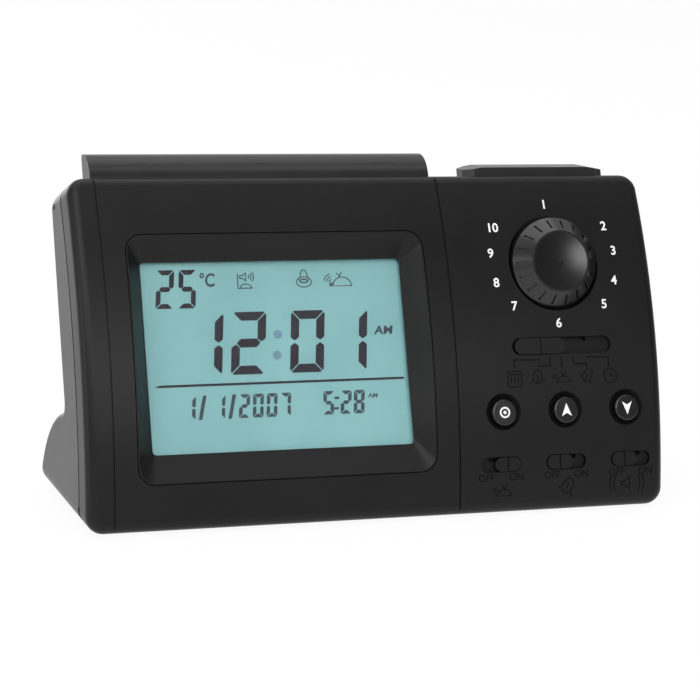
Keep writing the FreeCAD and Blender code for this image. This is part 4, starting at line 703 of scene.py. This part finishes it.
for name, key, x, way in (("upArrow", "up", 0.0, 1),
                          ("downArrow", "down", buttonLook["pitch"], -1)):
    arrow = Sheaf(onKey(key + "_button", x, way), inkFilm)
    arrow.fill(buttonLook["arrow"])
    arrow.finish(name, "padInk", key + "_key", "key_plastic")
setMark = Sheaf(onKey("set_button", -buttonLook["pitch"], 1), inkFilm)
setMark.stroke(ring(0, 0, buttonLook["ring"], buttonLook["ring"], 24), buttonLook["ringLine"],
               True)
setMark.fill(ring(0, 0, buttonLook["dot"], buttonLook["dot"], 18))
setMark.finish("setMark", "padInk", "set_key", "key_plastic")

# lines and signs of the face, moulded in as shallow grooves: drawn as a thin flush film in a
# darker tone, which is painted shade for the grooves
reliefLook = {
    "line": 0.42, "thin": 0.34, "film": (-0.03, 0.03),
    "leaders": (((-15.3, -30.1), (-15.2, -27.75), (-7.3, -27.95)),
                ((-7.9, -29.75), (-4.1, -29.72), (-3.95, -27.2)),
                ((-0.35, -27.25), (-0.5, -30.15)),
                ((3.2, -27.4), (3.4, -29.45), (7.4, -29.55), (7.35, -30.4)),
                ((7.4, -27.55), (14.45, -27.8), (14.3, -30.6))),
    "brackets": ((13.9, -1), (15.2, -1), (23.2, 1), (24.5, 1)), "bracketRadius": 5.6,
    "bracketShift": 5.5, "bracketSpread": 26,
}
thin = reliefLook["thin"]
signs = Sheaf(onFace, reliefLook["film"])
for points in reliefLook["leaders"]:
    signs.stroke(points, reliefLook["line"])


def bell(sheaf, x, y, size, angle):
    outline = [(-1.0, -0.62), (-0.62, -0.3), (-0.58, 0.35)] + arc(0, 0.4, 0.56, 0.56, 175, 5, 8) \
        + [(0.58, 0.35), (0.62, -0.3), (1.0, -0.62)]
    clapper = arc(0, -0.62, 0.32, 0.3, 180, 360, 6)
    for points, closed in ((outline, True), (clapper, False), ([(0, -0.35), (0, 0.4)], False)):
        sized = [(px * size, py * size) for px, py in points]
        sheaf.stroke(turned(sized, angle, x, y), thin, closed)


def dome(sheaf, x, y, size):
    sheaf.stroke([(x - 1.15 * size, y - 0.7 * size), (x + 1.2 * size, y - 0.7 * size)]
                 + arc(x + 0.1 * size, y - 0.68 * size, 0.95 * size, 0.8 * size, 8, 172, 10),
                 thin, True)
    sheaf.stroke([(x - 0.25 * size, y + 0.75 * size), (x + 0.1 * size, y + 0.15 * size),
                  (x + 0.55 * size, y + 0.75 * size)], thin)
    for reach in (0.35, 0.7):
        sheaf.stroke(arc(x - 0.95 * size, y - 0.35 * size, reach * size, reach * size,
                         80, 160, 6), thin)


# under the mode slider: calendar, bell, dome, ringing bell and clock
signs.stroke([(-17.4, -35.4), (-13.2, -35.4), (-13.2, -31.0), (-17.4, -31.0)], thin, True)
for x in (-16.4, -15.3, -14.2):
    signs.stroke([(x, -34.6), (x, -32.6)], thin)
signs.stroke([(-17.1, -31.9), (-13.5, -31.9)], thin)
bell(signs, -8.1, -32.9, 2.1, 0)
dome(signs, -0.3, -33.1, 2.1)
bell(signs, 7.4, -32.9, 2.1, -32)
signs.stroke(ring(14.7, -33.1, 2.05, 2.05, 24), thin, True)
signs.stroke([(14.7, -31.9), (14.7, -33.1), (15.7, -33.5)], thin)
# under the three switches: dome, ringing bell, and a loudspeaker between brackets
dome(signs, -19.6, -64.6, 2.2)
bell(signs, 0.4, -64.3, 2.5, -32)
for x, bow in reliefLook["brackets"]:
    middle, spread = 90 - bow * 90, reliefLook["bracketSpread"]
    signs.stroke(arc(x - bow * reliefLook["bracketShift"], -64.3, reliefLook["bracketRadius"],
                     reliefLook["bracketRadius"], middle - spread, middle + spread, 8), thin)
signs.stroke([(17.4, -63.8), (18.4, -63.8), (20.1, -62.6), (20.1, -66.0), (18.4, -64.8),
              (17.4, -64.8)], thin, True)
signs.finish("faceReliefShade", "paintedReliefShade", "housing", "case_plastic")

# the switches' words in the same thin film and the same painted shade as the lines
wordLook = {"size": 2.9, "weight": 0.03, "height": -61.0, "switches": (-20.35, 0.0, 20.35),
            "words": (("OFF", -4.45), ("ON", 4.75))}
words = [flatText(text, x + shift, wordLook["height"], onFace, reliefLook["film"], wordLook)
         for x in wordLook["switches"] for text, shift in wordLook["words"]]
addPiece("switchWordsShade", joinMeshes("switchWordsShade", words), "paintedReliefShade", "housing")
print("clock: face marked")

# two rows of solder joints on the main board's back, from a small node tree
solderLook = {"radius": 0.55, "tip": 0.18, "height": 0.55, "sides": 14, "pitch": 2.0,
              "sink": 0.02, "count": 26, "left": -25.0, "rows": (24.4, -24.4)}


def solderRowTree(look):
    tree = bpy.data.node_groups.new("solderRow", "GeometryNodeTree")
    for name, kind, value in (("Joints", "NodeSocketInt", look["count"]),
                              ("Pitch", "NodeSocketFloat", look["pitch"] * mm),
                              ("Foot radius", "NodeSocketFloat", look["radius"] * mm),
                              ("Tip radius", "NodeSocketFloat", look["tip"] * mm),
                              ("Height", "NodeSocketFloat", look["height"] * mm)):
        socket = tree.interface.new_socket(name=name, in_out="INPUT", socket_type=kind)
        socket.default_value = value
    tree.interface.new_socket(name="Geometry", in_out="OUTPUT", socket_type="NodeSocketGeometry")
    given = addNode(tree, "NodeGroupInput").outputs
    step = addNode(tree, "ShaderNodeCombineXYZ", {}, {"X": given["Pitch"]})
    row = addNode(tree, "GeometryNodeMeshLine", {"mode": "OFFSET"},
                  {"Count": given["Joints"], "Offset": step.outputs[0]})
    joint = addNode(tree, "GeometryNodeMeshCone", {"Vertices": look["sides"]},
                    {"Radius Bottom": given["Foot radius"], "Radius Top": given["Tip radius"],
                     "Depth": given["Height"]})
    copies = addNode(tree, "GeometryNodeInstanceOnPoints", {},
                     {"Points": row.outputs[0], "Instance": joint.outputs[0]})
    real = addNode(tree, "GeometryNodeRealizeInstances", {}, {"Geometry": copies.outputs[0]})
    dressed = addNode(tree, "GeometryNodeSetMaterial", {"Material": finishes["tinSolder"]},
                      {"Geometry": real.outputs[0]})
    addNode(tree, "NodeGroupOutput", {}, {"Geometry": dressed.outputs[0]})
    return tree


def growMesh(tree, values):
    # runs a node tree on an empty mesh and gives the plain result
    holder = bpy.data.objects.new("grower", bpy.data.meshes.new("grower"))
    putInScene(holder)
    modifier = holder.modifiers.new("grow", "NODES")
    modifier.node_group = tree
    for item in tree.interface.items_tree:
        if item.item_type == "SOCKET" and item.in_out == "INPUT" and item.name in values:
            modifier[item.identifier] = values[item.name]
    bpy.context.view_layer.update()
    graph = bpy.context.evaluated_depsgraph_get()
    mesh = bpy.data.meshes.new_from_object(holder.evaluated_get(graph))
    holder.modifiers.remove(modifier)
    bpy.data.objects.remove(holder)
    return mesh


solderTree = solderRowTree(solderLook)
boardBack = min(heightsOver(displayPlane, "main_board")) + solderLook["sink"]
joints = []
for height in solderLook["rows"]:
    mesh = growMesh(solderTree, {"Joints": solderLook["count"]})
    for vertex in mesh.vertices:
        x, y, z = vertex.co / mm
        vertex.co = leaning(displayPlane, solderLook["left"] + x, height + y, boardBack - z)
    joints.append(mesh)
addPiece("solderJoints", joinMeshes("solderJoints", joints), "tinSolder", "housing")
print("clock: boards soldered")

# the camera, a little to the left and above, and a plain studio
cameraLook = {"position": (-0.2425, -0.64505, 0.1983), "turn": 20.36, "dip": 12.70, "roll": 2.85,
              "lens": 126.8, "sensor": 36.0, "clipStart": 0.01}


def addCamera(look):
    turn, dip, roll = (math.radians(look[key]) for key in ("turn", "dip", "roll"))
    back = Vector((-math.sin(turn) * math.cos(dip), -math.cos(turn) * math.cos(dip),
                   math.sin(dip)))
    right = Vector((math.cos(turn), -math.sin(turn), 0.0))
    up = back.cross(right)
    level = Matrix((right, up, back)).transposed()
    data = bpy.data.cameras.new("studioCamera")
    data.lens = look["lens"]
    data.sensor_width = look["sensor"]
    data.clip_start = look["clipStart"]
    camera = bpy.data.objects.new("studioCamera", data)
    spin = Matrix.Rotation(roll, 3, "Z")
    camera.matrix_world = Matrix.Translation(look["position"]) @ (level @ spin).to_4x4()
    putInScene(camera)
    bpy.context.scene.camera = camera


studioLook = {"floorSize": 9.0, "floorTone": "#fafafa", "floorWhite": 0.93, "roomLevel": 0.82,
              "dimLevel": 0.18, "dimWay": (0.42, -0.80, 0.42), "dimFrom": 0.7, "dimTo": 0.955,
              "sideDrop": 0.7, "backGain": 0.22}
lampLook = {  # place, aim, width, height, power in watts
    "topSoftbox": ((-0.1, 0.35, 1.5), (0, 0, 0.05), 1.6, 1.0, 5.0),
    "keySoftbox": ((-0.95, -1.1, 1.35), (0, 0, 0.05), 1.5, 1.5, 15.0),
    "frontSoftbox": ((0.02, -1.60, 0.88), (0, 0, 0.05), 0.5, 0.6, 4.2),
    "backSoftbox": ((-0.65, 2.0, 0.45), (0, 0, 0.05), 1.2, 0.9, 9.0),
    "leftSoftbox": ((-1.64, -0.17, 0.36), (0, 0, 0.06), 0.6, 0.7, 3.8),
    "crownSoftbox": ((0.43, -0.47, 1.30), (0, 0, 0.05), 0.4, 0.4, 1.05),
    "lowSoftbox": ((0.435, -1.68, 0.68), (0, 0, 0.05), 0.3, 0.32, 2.4),
}


def rayShare(tree, kinds):  # 1 for rays of these kinds, 0 for the others
    path = addNode(tree, "ShaderNodeLightPath")
    total = path.outputs[kinds[0]]
    for kind in kinds[1:]:
        total = addNode(tree, "ShaderNodeMath", {"operation": "MAXIMUM"},
                        {0: total, 1: path.outputs[kind]}).outputs[0]
    return total


def addFloor(look):
    # matt white paper: the camera, gloss and glass see it nearly white, but for the shadow
    mesh = bpy.data.meshes.new("studioFloor")
    half = look["floorSize"] / 2
    mesh.from_pydata([(-half, -half, 0), (half, -half, 0), (half, half, 0), (-half, half, 0)],
                     [], [(0, 1, 2, 3)])
    floor = bpy.data.objects.new("studioFloor", mesh)
    putInScene(floor)
    material = bpy.data.materials.new("paperSweep")
    material.use_nodes = True
    tree = material.node_tree
    tree.nodes.clear()
    paper = addNode(tree, "ShaderNodeBsdfDiffuse", {"Color": linear(look["floorTone"])})
    white = addNode(tree, "ShaderNodeEmission", {"Strength": 1.0})
    seen = addNode(tree, "ShaderNodeMath", {"operation": "MULTIPLY", 1: look["floorWhite"]},
                   {0: rayShare(tree, ("Is Camera Ray", "Is Glossy Ray", "Is Transmission Ray"))})
    both = addNode(tree, "ShaderNodeMixShader", {},
                   {0: seen.outputs[0], 1: paper.outputs[0], 2: white.outputs[0]})
    addNode(tree, "ShaderNodeOutputMaterial", {}, {"Surface": both.outputs[0]})
    mesh.materials.append(material)


def addRoom(look):
    # A white room. The camera and glass see it plain white. It lights the clock a little less,
    # least from its two sides and from the dim part in front, and most from behind.
    world = bpy.data.worlds.new("studioRoom")
    bpy.context.scene.world = world
    world.use_nodes = True
    tree = world.node_tree
    tree.nodes.clear()
    way = addNode(tree, "ShaderNodeTexCoord").outputs["Generated"]
    axes = addNode(tree, "ShaderNodeSeparateXYZ", {}, {0: way})
    dimWay = Vector(look["dimWay"]).normalized()
    toward = addNode(tree, "ShaderNodeVectorMath", {"operation": "DOT_PRODUCT", 1: dimWay},
                     {0: way}).outputs["Value"]
    dim = addNode(tree, "ShaderNodeMapRange",
                  {"interpolation_type": "SMOOTHSTEP", "From Min": look["dimFrom"],
                   "From Max": look["dimTo"], "To Min": look["roomLevel"],
                   "To Max": look["dimLevel"]}, {"Value": toward})
    aside = addNode(tree, "ShaderNodeMath", {"operation": "MULTIPLY"},
                    {0: axes.outputs[0], 1: axes.outputs[0]})
    side = addNode(tree, "ShaderNodeMath",
                   {"operation": "MULTIPLY_ADD", 1: -look["sideDrop"], 2: 1.0},
                   {0: aside.outputs[0]})
    behind = addNode(tree, "ShaderNodeMath",
                     {"operation": "MULTIPLY_ADD", 1: look["backGain"], 2: 1.0},
                     {0: axes.outputs[1]})
    sides = addNode(tree, "ShaderNodeMath", {"operation": "MULTIPLY"},
                    {0: behind.outputs[0], 1: side.outputs[0]})
    room = addNode(tree, "ShaderNodeMath", {"operation": "MULTIPLY"},
                   {0: dim.outputs[0], 1: sides.outputs[0]})
    level = addNode(tree, "ShaderNodeMath", {"operation": "MAXIMUM"},
                    {0: room.outputs[0],
                     1: rayShare(tree, ("Is Camera Ray", "Is Transmission Ray"))})
    glow = addNode(tree, "ShaderNodeBackground", {"Color": (1.0, 1.0, 1.0, 1.0)},
                   {"Strength": level.outputs[0]})
    addNode(tree, "ShaderNodeOutputWorld", {}, {"Surface": glow.outputs[0]})


def addLamps(look):
    for name, (place, aim, width, height, power) in look.items():
        data = bpy.data.lights.new(name, "AREA")
        data.shape = "RECTANGLE"
        data.size = width
        data.size_y = height
        data.energy = power
        lamp = bpy.data.objects.new(name, data)
        lamp.visible_camera = False
        turn = (Vector(aim) - Vector(place)).to_track_quat("-Z", "Y").to_matrix().to_4x4()
        lamp.matrix_world = Matrix.Translation(place) @ turn
        putInScene(lamp)


addCamera(cameraLook)
addFloor(studioLook)
addRoom(studioLook)
addLamps(lampLook)
bpy.context.scene.view_settings.view_transform = "Standard"
print("clock: studio set")
